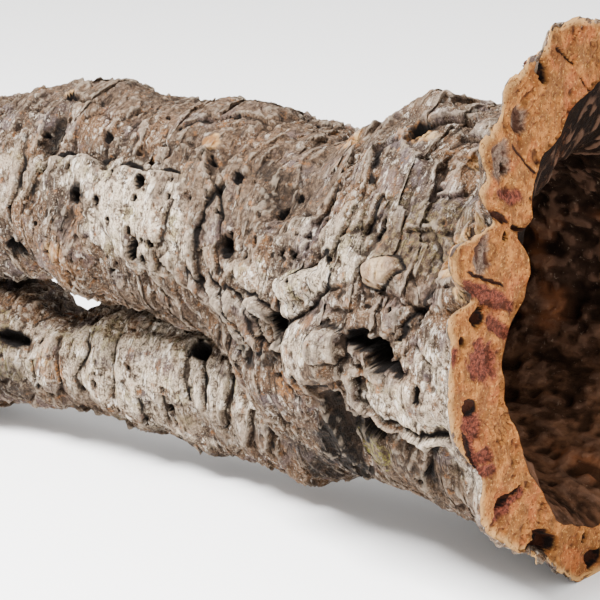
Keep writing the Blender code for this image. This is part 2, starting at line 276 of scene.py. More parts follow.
# Unevenness: size of its bumps, their height, and the seed of its noise.
SWELL = (0.034, 0.0030, 1)
CRUST = (0.015, 0.0013, 2)
BORE_SWELL = (0.026, 0.0020, 3)
STRAY_SEED = 5


def through_rows(table: tuple, at: np.ndarray, period: float | None = None) -> np.ndarray:
    """A smooth curve through a table's rows: a cubic whose slope at each row is that of its neighbours.

    Args:
        table: rows of a key and its values.
        at: the keys to read it at.
        period: closes the curve on itself.

    Returns:
        The values at each key, along a new last axis.
    """
    rows = np.array(table, float)
    keys, values = rows[:, 0], rows[:, 1:]
    if period:
        keys = np.concatenate([[keys[-1] - period], keys, keys[:2] + period])
        values = np.concatenate([values[-1:], values, values[:2]])
        at = np.mod(at, period)
    slopes = np.gradient(values, keys, axis=0)
    row = np.clip(np.searchsorted(keys, at, side="right") - 1, 0, len(keys) - 2)
    gap = (keys[row + 1] - keys[row])[..., None]
    t = np.clip((at - keys[row])[..., None] / gap, 0, 1)
    start = (1 + 2 * t) * (1 - t) ** 2 * values[row] + t * (1 - t) ** 2 * gap * slopes[row]
    end = t * t * (3 - 2 * t) * values[row + 1] - t * t * (1 - t) * gap * slopes[row + 1]
    return start + end


def scatter(corner: np.ndarray, seed: int) -> np.ndarray:
    """A random value from 0 to 1 for each lattice corner: its whole numbers, multiplied, mixed and cut.

    Args:
        corner: whole numbers, three along the last axis.
        seed: picks another set of values.

    Returns:
        One value for each corner.
    """
    x, y, z = np.moveaxis(corner, -1, 0)
    mixed = (x * 73856093 ^ y * 19349663 ^ z * 83492791 ^ seed * 2654435) & 0xFFFFFFFF
    mixed = ((mixed ^ mixed >> 15) * 1274126177) & 0xFFFFFFFF
    return (mixed ^ mixed >> 13) % 4096 / 4095


def noise(points: np.ndarray, cell: float | tuple, seed: int) -> np.ndarray:
    """Smooth unevenness from -1 to 1: a random value at each corner of a lattice, blended in between.

    Args:
        points: places, three numbers along the last axis.
        cell: size of the bumps, or one for each axis.
        seed: picks another pattern.

    Returns:
        One value for each point.
    """
    scaled = points / np.array(cell)
    corner = np.floor(scaled).astype(np.int64)
    blend = scaled - corner
    blend = blend * blend * (3 - 2 * blend)
    total = 0
    for step in product((0, 1), repeat=3):
        value = scatter(corner + step, seed) * 2 - 1
        total = total + value * np.prod(np.where(step, blend, 1 - blend), axis=-1)
    return total


def cells(points: np.ndarray, cell: tuple, seed: int) -> tuple[np.ndarray, np.ndarray]:
    """Cracked plates: each point belongs to the nearest of seeds strewn one to a lattice box.

    Args:
        points: places, three numbers along the last axis.
        cell: size of the plates along each axis.
        seed: picks another pattern.

    Returns:
        How much nearer its own seed is than the next one, in cells, and the plate's own random value.
    """
    scaled = points / np.array(cell)
    corner = np.floor(scaled).astype(np.int64)
    nearest = np.full(points.shape[:-1], 9.0)
    second = nearest.copy()
    own = np.zeros_like(nearest)
    for step in product((-1, 0, 1), repeat=3):
        box = corner + step
        spot = box + np.stack([scatter(box, seed + k) for k in (11, 23, 37)], axis=-1)
        gap = np.linalg.norm(spot - scaled, axis=-1)
        closer = gap < nearest
        second = np.where(closer, nearest, np.minimum(second, gap))
        own = np.where(closer, scatter(box, seed + 51), own)
        nearest = np.minimum(nearest, gap)
    return second - nearest, own


def smoothstep(low: float, high: float, value: np.ndarray) -> np.ndarray:
    """Rises smoothly from 0 at LOW to 1 at HIGH, as 3t^2 - 2t^3."""
    t = np.clip((value - low) / (high - low), 0, 1)
    return t * t * (3 - 2 * t)


def turned(angle: np.ndarray, middle: float) -> np.ndarray:
    """The turn from MIDDLE to each angle, in radians, from -pi to pi."""
    return np.radians((angle - middle + 180) % 360 - 180)


def on_tube(behind: np.ndarray, angle: np.ndarray, centre: np.ndarray, radius: np.ndarray) -> np.ndarray:
    """Points at a radius from the tube's centre line, each in the cross-section at its own distance.

    Args:
        behind: metres behind the mouth.
        angle: degrees round the tube.
        centre: where the centre line is, across and up, first in its last axis.
        radius: metres from the centre line.

    Returns:
        Places in the frame, three numbers along the last axis.
    """
    turn = np.radians(angle)
    across = centre[..., 0] + radius * np.cos(turn) + AXIS_OFFSET
    up = centre[..., 1] + radius * np.sin(turn) + AXIS_HEIGHT
    return np.stack([np.broadcast_to(LENGTH / 2 - behind, up.shape), across, up], axis=-1)


def blurred(field: np.ndarray, reach: int) -> np.ndarray:
    """The field's mean over a window of 2 x REACH + 1 grid steps each way, closed round the tube.

    Args:
        field: rings x sides.
        reach: grid steps.

    Returns:
        The means, from running totals.
    """
    for axis in (0, 1):
        if axis:
            padded = np.concatenate([field[:, -reach:], field, field[:, :reach]], axis=1)
        else:
            padded = np.concatenate([field[:1].repeat(reach, 0), field, field[-1:].repeat(reach, 0)])
        total = np.cumsum(padded, axis=axis)
        total = np.concatenate([np.zeros_like(np.take(total, [0], axis)), total], axis=axis)
        width = 2 * reach + 1
        count = total.shape[axis]
        field = np.take(total, range(width, count), axis) - np.take(total, range(count - width), axis)
        field = field / width
    return field


class Film(Enum):
    """What lies on the bark, or shows through it, in places."""

    PALE = "pale"
    BROWN = "brown"
    RUST = "rust"
    MOSS = "moss"
    FRESH = "fresh"
    # Soil with painted shade: darkens hollows, holes and creases.
    SOIL_AND_SHADE = "soil_and_shade"


# Patches: film, millimetres behind the mouth, angle, half length, half width in millimetres, strength.
MAIN_PATCHES = (
    (Film.PALE, 212, 173, 40, 26, 1.0),
    (Film.PALE, 106, 167, 19, 10, 1.5),
    (Film.PALE, 58, 161, 11, 8, 1.5),
    (Film.PALE, 97, 184, 20, 15, 0.8),
    (Film.PALE, 42, 195, 34, 10, 1.1),
    (Film.PALE, 26, 186, 26, 22, 0.7),
    (Film.PALE, 12, 208, 14, 16, 1.0),
    (Film.PALE, 140, 165, 20, 16, 0.6),
    (Film.PALE, 255, 158, 14, 10, 0.7),
    (Film.PALE, 300, 165, 26, 16, 0.6),
    (Film.PALE, 170, 145, 26, 16, 0.4),
    (Film.BROWN, 250, 96, 170, 24, 1.0),
    (Film.BROWN, 120, 110, 46, 26, 0.9),
    (Film.BROWN, 134, 136, 16, 16, 1.2),
    (Film.BROWN, 89, 212, 16, 40, 1.4),
    (Film.BROWN, 50, 222, 46, 22, 1.0),
    (Film.BROWN, 250, 178, 10, 14, 0.9),
    (Film.BROWN, 158, 136, 60, 30, 0.95),
    (Film.BROWN, 36, 154, 28, 26, 1.0),
    (Film.BROWN, 182, 192, 30, 12, 0.8),
    (Film.BROWN, 60, 250, 60, 40, 0.7),
    (Film.BROWN, 200, 225, 60, 16, 0.8),
    (Film.RUST, 117, 111, 6, 5, 1.2),
    (Film.RUST, 185, 128, 4, 4, 1.2),
    (Film.RUST, 214, 140, 3, 3, 1.0),
    (Film.RUST, 300, 136, 3, 3, 1.0),
    (Film.RUST, 285, 108, 3, 3, 1.0),
    (Film.RUST, 183, 87, 3, 3, 0.8),
    (Film.RUST, 250, 179, 7, 8, 0.6),
    (Film.RUST, 260, 204, 12, 12, 0.45),
    (Film.PALE, 60, 340, 26, 30, 0.9),
    (Film.PALE, 150, 20, 30, 22, 0.8),
    (Film.PALE, 255, 350, 34, 22, 0.8),
    (Film.PALE, 330, 20, 30, 18, 0.7),
    (Film.BROWN, 105, 300, 30, 30, 0.9),
    (Film.BROWN, 200, 320, 40, 18, 0.8),
    (Film.SOIL_AND_SHADE, 165, 12, 12, 9, 0.9),
    (Film.SOIL_AND_SHADE, 72, 336, 12, 10, 0.6),
    (Film.MOSS, 120, 320, 30, 20, 0.3),
    (Film.RUST, 118, 197, 6, 6, 0.9),
    (Film.FRESH, 185, 128, 5, 4, 1.1),
    (Film.FRESH, 117, 111, 6, 5, 0.9),
    (Film.FRESH, 214, 140, 3, 3, 0.8),
    (Film.FRESH, 285, 108, 4, 3, 0.8),
    (Film.FRESH, 262, 197, 7, 5, 0.6),
    (Film.FRESH, 96, 176, 4, 3, 0.5),
    (Film.RUST, 107, 194, 5, 5, 0.8),
    (Film.RUST, 66, 190, 3, 4, 1.3),
    (Film.RUST, 55, 190, 3, 3, 1.2),
    (Film.RUST, 72, 121, 8, 6, 0.9),
    (Film.MOSS, 72, 214, 12, 14, 1.0),
    (Film.MOSS, 86, 204, 8, 14, 0.5),
    (Film.MOSS, 38, 150, 24, 20, 0.25),
    (Film.MOSS, 70, 150, 26, 22, 0.15),
    (Film.FRESH, 38, 125, 6, 4, 1.0),
    (Film.FRESH, 32, 122, 5, 5, 1.2),
    (Film.FRESH, 36, 114, 6, 4, 1.1),
    (Film.FRESH, 65, 123, 5, 4, 0.8),
    (Film.FRESH, 14, 150, 14, 5, 1.0),
    (Film.FRESH, 20, 156, 12, 6, 0.9),
    (Film.FRESH, 8, 164, 10, 5, 1.0),
    (Film.SOIL_AND_SHADE, 89, 211, 12, 26, 1.3),
    (Film.SOIL_AND_SHADE, 98, 224, 14, 20, 1.3),
    (Film.SOIL_AND_SHADE, 108, 236, 14, 16, 1.1),
    (Film.SOIL_AND_SHADE, 76, 208, 8, 8, 1.0),
    (Film.SOIL_AND_SHADE, 62, 206, 14, 5, 1.2),
    (Film.SOIL_AND_SHADE, 74, 207, 5, 5, 1.4),
    (Film.BROWN, 40, 214, 30, 14, 1.2),
    (Film.SOIL_AND_SHADE, 118, 236, 22, 16, 0.8),
    (Film.SOIL_AND_SHADE, 128, 190, 8, 4, 0.9),
    (Film.SOIL_AND_SHADE, 145, 194, 8, 4, 0.9),
    (Film.SOIL_AND_SHADE, 119, 180, 7, 7, 1.2),
    (Film.SOIL_AND_SHADE, 137, 136, 9, 10, 0.7),
    (Film.SOIL_AND_SHADE, 148, 127, 10, 7, 0.7),
    (Film.SOIL_AND_SHADE, 252, 166, 7, 5, 1.1),
    (Film.SOIL_AND_SHADE, 258, 180, 8, 8, 0.5),
    (Film.SOIL_AND_SHADE, 281, 138, 4, 12, 1.0),
    (Film.SOIL_AND_SHADE, 300, 208, 10, 7, 1.1),
    (Film.SOIL_AND_SHADE, 47, 214, 12, 6, 0.7),
    (Film.SOIL_AND_SHADE, 220, 82, 60, 12, 0.5),
    (Film.SOIL_AND_SHADE, 130, 255, 40, 20, 0.7),
    (Film.SOIL_AND_SHADE, 70, 155, 5, 5, 0.5),
)
LOWER_PATCHES = (
    (Film.PALE, 246, 168, 26, 26, 1.0),
    (Film.PALE, 232, 176, 66, 40, 1.0),
    (Film.PALE, 188, 182, 30, 20, 1.0),
    (Film.PALE, 310, 165, 30, 18, 0.8),
    (Film.PALE, 283, 148, 10, 9, 0.9),
    (Film.PALE, 215, 185, 24, 16, 0.7),
    (Film.BROWN, 285, 222, 30, 14, 1.0),
    (Film.BROWN, 180, 205, 60, 12, 0.8),
    (Film.BROWN, 340, 170, 34, 30, 0.6),
    (Film.RUST, 288, 178, 4, 8, 0.9),
    (Film.RUST, 296, 168, 4, 8, 0.6),
    (Film.MOSS, 275, 150, 12, 12, 0.35),
    (Film.MOSS, 335, 165, 24, 20, 0.4),
    (Film.SOIL_AND_SHADE, 116, 215, 16, 22, 1.2),
    (Film.SOIL_AND_SHADE, 130, 238, 14, 14, 0.9),
    (Film.RUST, 124, 200, 5, 5, 0.7),
    (Film.SOIL_AND_SHADE, 318, 159, 12, 5, 1.1),
    (Film.SOIL_AND_SHADE, 325, 205, 16, 12, 0.6),
    (Film.SOIL_AND_SHADE, 205, 142, 8, 5, 0.8),
    (Film.SOIL_AND_SHADE, 240, 245, 60, 12, 0.6),
)


@dataclass(frozen=True)
class Edge:
    """A ledge's lip, or a crack, drawn on the bark: the points are (mm behind the mouth, angle)."""

    points: tuple
    height: float  # mm; of the lip above the bark behind it
    drop: float  # mm; below the bark in front of it
    taper: float = 9.0  # mm over which the lip falls back
    reach: float = 5.0  # mm that the drop reaches in front of it
    shade: float = 0.8  # how dark the painted shade at the foot of the drop is


MAIN_EDGES = (
    # Scalloped upper lip of the pale plate, and the arched plate beside it over the cave
    Edge(((194, 147), (201, 147), (216, 147), (229, 149)), 1.6, 2.4, 8, 7),
    Edge(((238, 153), (244, 147), (252, 145), (262, 147), (271, 152), (278, 162)), 2.2, 4.2, 9, 8, 1.0),
    # The curled ledge over the big recess
    Edge(((4, 196), (15, 197), (36, 199), (51, 200), (64, 200), (71, 197), (72, 190)), 1.4, 5.5, 18, 11, 0.9),
    # Tongues that hang into the crease
    Edge(((172, 170), (164, 178), (158, 184), (152, 188), (147, 192)), 3.0, 3.6, 12, 7, 0.9),
    Edge(((150, 166), (142, 170), (136, 174), (129, 179), (123, 183)), 3.0, 4.2, 12, 7, 1.0),
    Edge(((196, 186), (186, 196), (176, 200), (164, 203)), 2.2, 3.0, 10, 6, 0.9),
    Edge(((214, 186), (206, 198), (198, 209), (188, 216)), 2.0, 2.6, 10, 6, 0.8),
    Edge(((240, 200), (232, 212), (222, 222)), 1.6, 2.2, 9, 6, 0.7),
    # Ledges that ring the upper branch and the trunk
    Edge(((286, 176), (282, 162), (279, 150), (276, 140), (279, 128)), 1.6, 3.2, 8, 5, 1.0),
    Edge(((300, 190), (293, 172), (292, 158), (296, 140)), 1.4, 2.4, 8, 5, 0.8),
    Edge(((199, 192), (197, 180), (195, 168), (193, 158)), 1.2, 1.8, 8, 4, 0.6),
    Edge(((172, 190), (176, 176), (179, 166), (176, 152), (170, 140)), 1.8, 2.6, 9, 5, 0.9),
    Edge(((160, 172), (163, 160), (168, 149), (178, 142), (184, 132)), 1.6, 2.4, 8, 5, 0.8),
    Edge(((206, 120), (196, 112), (182, 106), (168, 104)), 1.4, 2.0, 8, 5, 0.7),
    Edge(((112, 150), (104, 138), (104, 126), (110, 114)), 1.6, 2.4, 9, 5, 0.7),
    Edge(((90, 160), (83, 150), (82, 138), (88, 124)), 1.8, 2.6, 9, 5, 0.8),
    Edge(((66, 172), (72, 160), (76, 150), (74, 141)), 1.6, 2.4, 8, 5, 0.8),
    # Brown ledge over the pitted hollow by the rim, and slots beside it
    Edge(((74, 124), (68, 119), (60, 114), (50, 112)), 2.6, 4.6, 9, 8, 1.0),
    Edge(((54, 118), (46, 117), (38, 118), (31, 120)), 2.0, 3.6, 8, 5, 1.0),
    Edge(((52, 150), (42, 148), (34, 152), (28, 160), (34, 170)), 1.4, 2.2, 8, 5, 0.7),
    Edge(((48, 176), (42, 168), (34, 164)), 1.4, 2.4, 8, 5, 0.8),
    Edge(((44, 222), (40, 212), (35, 204), (31, 198)), 1.8, 4.0, 9, 6, 1.0),
    Edge(((74, 206), (64, 205), (55, 205), (46, 207)), 1.0, 3.4, 8, 5, 1.0),
)
LOWER_EDGES = (
    Edge(((258, 205), (255, 183), (258, 156), (257, 136)), 1.6, 3.0, 9, 4, 1.0),
    Edge(((209, 188), (211, 166), (212, 146), (210, 130)), 1.6, 2.8, 9, 4, 0.9),
    Edge(((197, 190), (198, 169), (202, 152), (204, 132)), 2.2, 3.6, 9, 5, 1.0),
    Edge(((186, 200), (184, 180), (184, 164), (188, 146)), 2.2, 3.6, 9, 5, 1.0),
    Edge(((172, 210), (168, 196), (168, 180)), 2.0, 3.2, 9, 5, 0.9),
    Edge(((160, 215), (155, 200), (156, 188)), 2.0, 3.2, 9, 5, 0.9),
    Edge(((226, 215), (224, 200), (225, 186)), 1.4, 2.4, 8, 4, 0.7),
    Edge(((240, 225), (238, 208), (240, 194)), 1.2, 2.2, 8, 4, 0.7),
    Edge(((276, 200), (275, 180), (272, 160), (276, 140)), 1.2, 2.4, 8, 4, 0.7),
    Edge(((292, 205), (288, 188), (290, 168), (294, 148)), 1.4, 2.4, 8, 4, 0.8),
    Edge(((305, 200), (302, 186), (304, 172)), 1.4, 2.4, 8, 4, 0.8),
)


@dataclass(frozen=True)
class Slab:
    """A raised flat piece of bark with a steep border: its place in mm behind the mouth and degrees."""

    at: float
    angle: float
    half_length: float  # mm along its own axis
    half_width: float
    tilt: float  # degrees from the tube's axis to its own, towards rising angles
    height: float  # mm
    power: float  # 2 an oval, 5 nearly a rectangle
    film: Film
    cover: float
    ridge: float = 0.0  # mm; of the growth ridges across it
    foot: float = 1.0  # how much of a groove, with painted shade in it, rings it; with none, its sides are a soft slope


FLUTE_PITCH = 3.6  # mm between growth ridges
FAR = 1e3  # mm, farther than any point is from an edge

MAIN_SLABS = (
    Slab(103, 167, 15, 8.5, 28, 3.0, 6.0, Film.PALE, 1.4, 0.6),  # the tilted bright plate
    Slab(58, 162, 9.5, 5.0, 38, 2.6, 2.3, Film.FRESH, 0.7),  # the cream nodule
    Slab(84, 182, 9, 6.5, -20, 2.2, 2.2, Film.BROWN, 0.2),  # on the knob
    Slab(212, 160, 26, 19, 8, 1.1, 5.0, Film.PALE, 1.2, 0.12),  # the lichen plate
    Slab(206, 182, 22, 11, -14, 0.9, 4.0, Film.PALE, 0.9),
    Slab(129, 178, 15.5, 8.0, -42, 3.6, 1.5, Film.PALE, 0.5, 0.35),  # tongues that hang into the crease
    Slab(142, 181, 14.5, 6.5, -44, 2.6, 1.5, Film.BROWN, 0.5, 0.25),
    Slab(154, 186, 15.5, 8.0, -42, 3.4, 1.5, Film.PALE, 0.4, 0.35),
    Slab(168, 194, 14.5, 7.0, -38, 2.8, 1.5, Film.BROWN, 0.4, 0.25),
    Slab(84, 160, 15, 11, 12, 1.6, 4.0, Film.PALE, 0.9, 0.45),  # the fluted plate beside the bright one
    Slab(38, 191.3, 38, 13.5, 0, 4.2, 2.6, Film.PALE, 0.9, 0.35, 0.0),  # the back of the curled ledge
    Slab(137, 136, 15, 13, 0, 4.2, 2.0, Film.BROWN, 0.6, 0.0, 0.0),  # bark left standing in the soft pit
    Slab(90, 150, 12, 8, 30, 1.4, 4.0, Film.PALE, 0.4),
    Slab(118, 148, 10, 8, -10, 1.2, 4.0, Film.PALE, 0.4),
)
LOWER_SLABS = (
    Slab(234, 166, 20, 17, 0, 0.9, 5.0, Film.PALE, 1.1, 0.15),
    Slab(272, 165, 11, 14, 0, 0.9, 4.0, Film.PALE, 0.7, 0.20),
    Slab(192, 178, 8, 14, 4, 0.9, 4.0, Film.PALE, 0.8, 0.20),
)


@dataclass(frozen=True)
class Tube:
    """One tube of the bark: its plain form, lumps, holes, edges, films and slabs."""

    name: str
    rows: tuple
    lumps: tuple
    holes: tuple
    edges: tuple
    patches: tuple
    slabs: tuple
    bare: float  # metres behind the mouth from which small holes are strewn
    strewn: int  # how many of them
    outline: tuple = ()

    def plain(self, behind: np.ndarray, angle: np.ndarray) -> tuple[np.ndarray, np.ndarray, np.ndarray]:
        """The plain tube, with the mouth's outline fading out behind it.

        Args:
            behind: metres behind the mouth.
            angle: degrees round the tube.

        Returns:
            The table's rows at each distance, the outer radius and the inner one.
        """
        rows = through_rows(self.rows, behind)
        outer = rows[..., 2]
        inner = rows[..., 2] - rows[..., 3]
        if self.outline:
            fade = np.exp(-np.maximum(behind, 0) / OUTLINE_FADE)[..., None]
            growth = through_rows(self.outline, angle, 360) * fade
            outer = outer + growth[..., 0]
            inner = inner + growth[..., 1]
        return rows, outer, inner

    def radius(self, behind: np.ndarray, angle: np.ndarray) -> tuple[np.ndarray, np.ndarray]:
        """The solid's own outer radius: plain tube, ringed edges, unevenness and lumps added up.

        Args:
            behind: metres behind the mouth.
            angle: degrees round the tube.

        Returns:
            The rows at each distance, and the radius.
        """
        rows, outer, _ = self.plain(behind, angle)
        place = on_tube(behind, angle, rows, outer)
        turns = (behind + RING_WANDER * noise(place, RING_STRAY, STRAY_SEED)) / RING_PITCH
        phase = turns - np.floor(turns)
        radius = outer + RING_HEIGHT * (np.minimum(phase / RING_FRONT, 1) * (1 - phase) - 0.4)
        for cell, height, seed in (SWELL, CRUST):
            radius = radius + height * noise(place, cell, seed)
        for at, middle, along, around, height, steep in self.lumps:
            r2 = ((behind - at) / along) ** 2 + (turned(angle, middle) * rows[..., 2] / around) ** 2
            radius = radius + height * np.clip(1 - r2, 0, 1) ** steep
        return rows, radius

    def bore_radius(self, behind: np.ndarray, angle: np.ndarray) -> tuple[np.ndarray, np.ndarray]:
        """The hollow's own radius: plain tube less the wall, with its unevenness.

        Args:
            behind: metres behind the mouth.
            angle: degrees round the tube.

        Returns:
            The rows at each distance, and the radius.
        """
        rows, _, inner = self.plain(behind, angle)
        cell, height, seed = BORE_SWELL
        return rows, inner + height * noise(on_tube(behind, angle, rows, inner), cell, seed)

    def depth(self, points: np.ndarray, hollow: bool) -> np.ndarray:
        """How far points lie below this tube's skin, or inside its hollow.

        Args:
            points: places, three numbers along the last axis.
            hollow: measures from the hollow's face.

        Returns:
            Metres, below 0 outside. Points in front of the tube's start are outside.
        """
        behind = LENGTH / 2 - points[..., 0]
        rows = through_rows(self.rows, behind)
        across = points[..., 1] - AXIS_OFFSET - rows[..., 0]
        up = points[..., 2] - AXIS_HEIGHT - rows[..., 1]
        angle = np.degrees(np.arctan2(up, across)) % 360
        _, radius = (self.bore_radius if hollow else self.radius)(behind, angle)
        return np.where(behind > self.rows[0][0], radius - np.hypot(across, up), -1.0)


MAIN = Tube(
    "main", MAIN_ROWS, MAIN_LUMPS, MAIN_HOLES, MAIN_EDGES, MAIN_PATCHES, MAIN_SLABS,
    bare=0.012, strewn=130, outline=MOUTH_OUTLINE,
)
LOWER = Tube(
    "lower", LOWER_ROWS, LOWER_LUMPS, LOWER_HOLES, LOWER_EDGES, LOWER_PATCHES, LOWER_SLABS,
    bare=0.13, strewn=60,
)


@dataclass
class Sheet:
    """A grid of points, closed round the tube, with the films that its materials read."""

    points: np.ndarray  # rings x sides x 3
    films: dict[str, np.ndarray]

    def normals(self) -> np.ndarray:
        """Normals: the cross product of the steps along the tube and around it.

        Returns:
            Unit vectors, rings x sides x 3.
        """
        along = np.gradient(self.points, axis=0)
        around = np.roll(self.points, -1, axis=1) - np.roll(self.points, 1, axis=1)
        normal = np.cross(along, around)
        return normal / np.maximum(np.linalg.norm(normal, axis=-1, keepdims=True), 1e-12)


def side_angles(count: int, middle: float, share: float = 1.0) -> np.ndarray:
    """Angles round a tube, closer together round MIDDLE by a factor of 1 + SHARE.

    Args:
        count: how many.
        middle: where they are closest.
        share: how much closer.

    Returns:
        Rising angles from 0, in degrees.
    """
    fine = np.linspace(0, 360, 3601)
    density = 1 + share * smoothstep(125, 85, np.abs((fine - middle + 180) % 360 - 180))
    total = np.concatenate([[0], np.cumsum((density[1:] + density[:-1]) / 2)])
    return np.interp(np.arange(count) / count * total[-1], total, fine)


class Relief:
    """What weather, growth and borers have done to a tube's skin, finer than the solid shows.

    A noise is given by the size of its bumps in metres and its seed. Heights are in millimetres.
    """

    warps = (0.010, (61, 62, 63))  # bends the plates' borders
    plates = (0.014, 0.021, 0.021)
    small_plates = (0.0052, 0.0075, 0.0075)
    plate_seeds = (71, 81)
    crack_border = (0.003, 64)
    crack_cover = (0.018, 67)  # where cracks show
    plate_cover = (0.050, 65)
    small_cover = (0.021, 66)
    # Overlapping ledges: pitch, height and overhang in millimetres, and the seed of their wandering.
    ledges = ((12.5, 2.4, 2.6, 91), (5.6, 1.25, 1.3, 94), (2.7, 0.55, 0.4, 97))
    wrinkles = ((0.0040, 0.40, 101), (0.0021, 0.34, 102))  # size, height and seed
    crumb = ((0.0060, 0.32, 103), (0.0031, 0.36, 104), (0.0017, 0.46, 105))
    crumb_cover = (0.017, 106)
    pocks = (0.0036, 107)
    grains = (0.0028, 108)
    wobbles = ((1.3, 0.005, 111), (1.6, 0.013, 112))  # of a drawn ledge: millimetres, size and seed
    lip_breaks = (0.007, 113)
    slab_borders = ((0.13, 0.0035, 141), (0.14, 0.010, 142))
    torn_cork = ((0.0048, 1.3, 161), (0.0023, 0.8, 162))
    torn_pits = (0.0030, 163)
    seam_breaks = (0.012, 151)
    seam_depth = 3.6
    seam_reach = 0.0055
    hole_rims = ((0.28, 0.0026, 121), (0.30, 0.0060, 122))
    patch_borders = ((0.60, 0.009, 131), (0.45, 0.0032, 132))
    strewn_seed = 7
    strewn_end = 0.39  # metres behind the mouth
    strewn_sizes = (0.6, 1.5)  # of the small holes, in millimetres

    def __init__(self, tube: Tube, other: Tube, behind: np.ndarray, angle: np.ndarray) -> None:
        """Works out the solid's own skin at each point of the grid.

        Args:
            tube: what it is the skin of.
            other: the tube that it parts from.
            behind: metres behind the mouth, one for each ring.
            angle: degrees, one for each side.
        """
        self.tube = tube
        self.behind, self.angle = np.meshgrid(behind, angle, indexing="ij")
        self.rows, self.base = tube.radius(self.behind, self.angle)
        self.place = on_tube(self.behind, self.angle, self.rows, self.base)
        self.painted_shade = np.zeros_like(self.base)
        self.films = {film: np.zeros_like(self.base) for film in Film}
        self.rise = np.zeros_like(self.base)
        self.push = np.zeros_like(self.base)
        size, seeds = self.warps
        self.warp = np.stack([noise(self.place, size, seed) for seed in seeds], axis=-1)
        self.gap, self.own = cells(self.place + 0.004 * self.warp, self.plates, self.plate_seeds[0])
        beside = other.depth(self.place, hollow=False)
        self.seam = np.exp(-((beside / self.seam_reach) ** 2)) * smoothstep(0.112, 0.135, self.behind)

    def mixed(self, parts: tuple) -> np.ndarray:
        """The sum of noises that are given by their weight, size and seed."""
        return sum(weight * noise(self.place, size, seed) for weight, size, seed in parts)

    def offsets(self, at: float, middle: float) -> tuple[np.ndarray, np.ndarray]:
        """How far each point is from a place on the tube.

        Args:
            at: the place, in millimetres behind the mouth.
            middle: its angle in degrees.

        Returns:
            Millimetres along the tube and around it.
        """
        along = self.behind / MM - at
        around = turned(self.angle, middle) * self.rows[..., 2] / MM
        return along, around

    def paint_shade(self, shade: np.ndarray) -> None:
        """Paints shade on the bark: darkens it where SHADE is more than what is there."""
        self.painted_shade = np.maximum(self.painted_shade, shade)

    def cover(self, film: Film, share: np.ndarray) -> None:
        """Lays a film where SHARE is more than what is there."""
        self.films[film] = np.maximum(self.films[film], share)

    def add_plates(self) -> None:
        """Cracked plates: each is lifted by its own height, and a crack is cut where two of them meet."""
        crack = 1 - smoothstep(0.0, 0.14, self.gap + 0.10 * noise(self.place, *self.crack_border))
        crack *= smoothstep(-0.5, 0.1, noise(self.place, *self.crack_cover))
        rough = 0.45 + 0.55 * smoothstep(-0.3, 0.5, noise(self.place, *self.plate_cover))
        self.rise += MM * rough * self.free * (1.9 * (self.own - 0.5) - 2.0 * crack)
        gap, own = cells(self.place + 0.0012 * self.warp, self.small_plates, self.plate_seeds[1])
        small = 1 - smoothstep(0.0, 0.20, gap)
        patchy = smoothstep(-0.1, 0.5, noise(self.place, *self.small_cover))
        self.rise += MM * patchy * self.free * (0.36 * (own - 0.5) - 0.50 * small)
        self.tone = 0.6 * self.own + 0.4 * own

    def add_ledges(self) -> None:
        """Overlapping ledges: saw-teeth along the tube whose steep side faces the mouth and overhangs.

        Their edges wander, and they break off at the plates' borders.
        """
        for pitch, height, overhang, seed in self.ledges:
            cell = pitch * MM
            stray = 0.90 * noise(self.place, (2.4 * cell, 4 * cell, 4 * cell), seed)
            stray = stray + 0.25 * noise(self.place, (0.9 * cell, 1.4 * cell, 1.4 * cell), seed + 1)
            turns = self.behind / cell + stray + 0.8 * self.own
            phase = turns - np.floor(turns)
            tooth = np.minimum(phase / 0.10, 1) * (1 - phase) ** 1.3
            strength = noise(self.place, (1.4 * cell, 3 * cell, 3 * cell), seed + 2)
            strength = smoothstep(-0.25, 0.45, strength)
            self.rise += MM * height * strength * self.free * (tooth - 0.35)
            self.push += MM * overhang * strength * self.free * tooth

    def add_wrinkles(self) -> None:
        """Fine ridges round the tube, from stretched noise folded at its middle, with crumb on top."""
        place = self.place + 0.0016 * self.warp
        for cell, height, seed in self.wrinkles:
            fold = 1 - 2 * np.abs(noise(place, (cell, 9 * cell, 9 * cell), seed)) ** 0.7
            self.rise += MM * height * fold
        cover = smoothstep(-0.3, 0.4, noise(self.place, *self.crumb_cover))
        for cell, height, seed in self.crumb:
            self.rise += MM * height * self.free * (0.35 + 0.65 * cover) * noise(self.place, cell, seed)
        pock = smoothstep(0.42, 0.66, noise(self.place, *self.pocks)) * (0.2 + 0.8 * cover) * self.free
        self.rise -= MM * 1.5 * pock
        # Painted shade in the pocks.
        self.paint_shade(0.55 * pock)
        self.rise += MM * 0.8 * smoothstep(0.46, 0.66, noise(self.place, *self.grains)) * self.free

    def add_slabs(self) -> None:
        """Raised plates: each lifts by its height inside the border |u|^p + |v|^p = 1.

        It carries its film, and growth ridges run across some, as a cosine along the plate's own axis.
        """
        ragged = self.mixed(self.slab_borders)
        for slab in self.tube.slabs:
            along, around = self.offsets(slab.at, slab.angle)
            turn = np.radians(slab.tilt)
            run = along * np.cos(turn) + around * np.sin(turn)
            u = np.abs(run) / slab.half_length
            v = np.abs(around * np.cos(turn) - along * np.sin(turn)) / slab.half_width
            r = (u**slab.power + v**slab.power) ** (1 / slab.power) + ragged
            inside = 1 - smoothstep(*((0.82, 1.02) if slab.foot else (0.3, 1.1)), r)
            foot = slab.foot * np.exp(-(((r - 1.08) / 0.10) ** 2))
            flute = np.cos(2 * np.pi * run / FLUTE_PITCH + 6.0 * ragged)
            self.rise -= 0.55 * (slab.ridge > 0) * inside * self.rise
            self.rise += MM * (slab.height * (inside - 0.45 * foot) + slab.ridge * inside * flute)
            # Painted shade in the troughs between growth ridges and in the groove round the plate.
            self.paint_shade(slab.ridge * inside * smoothstep(-0.45, -0.95, flute))
            self.paint_shade(0.85 * foot * smoothstep(0.8, 2.4, np.array(slab.height)))
            self.cover(slab.film, slab.cover * inside)

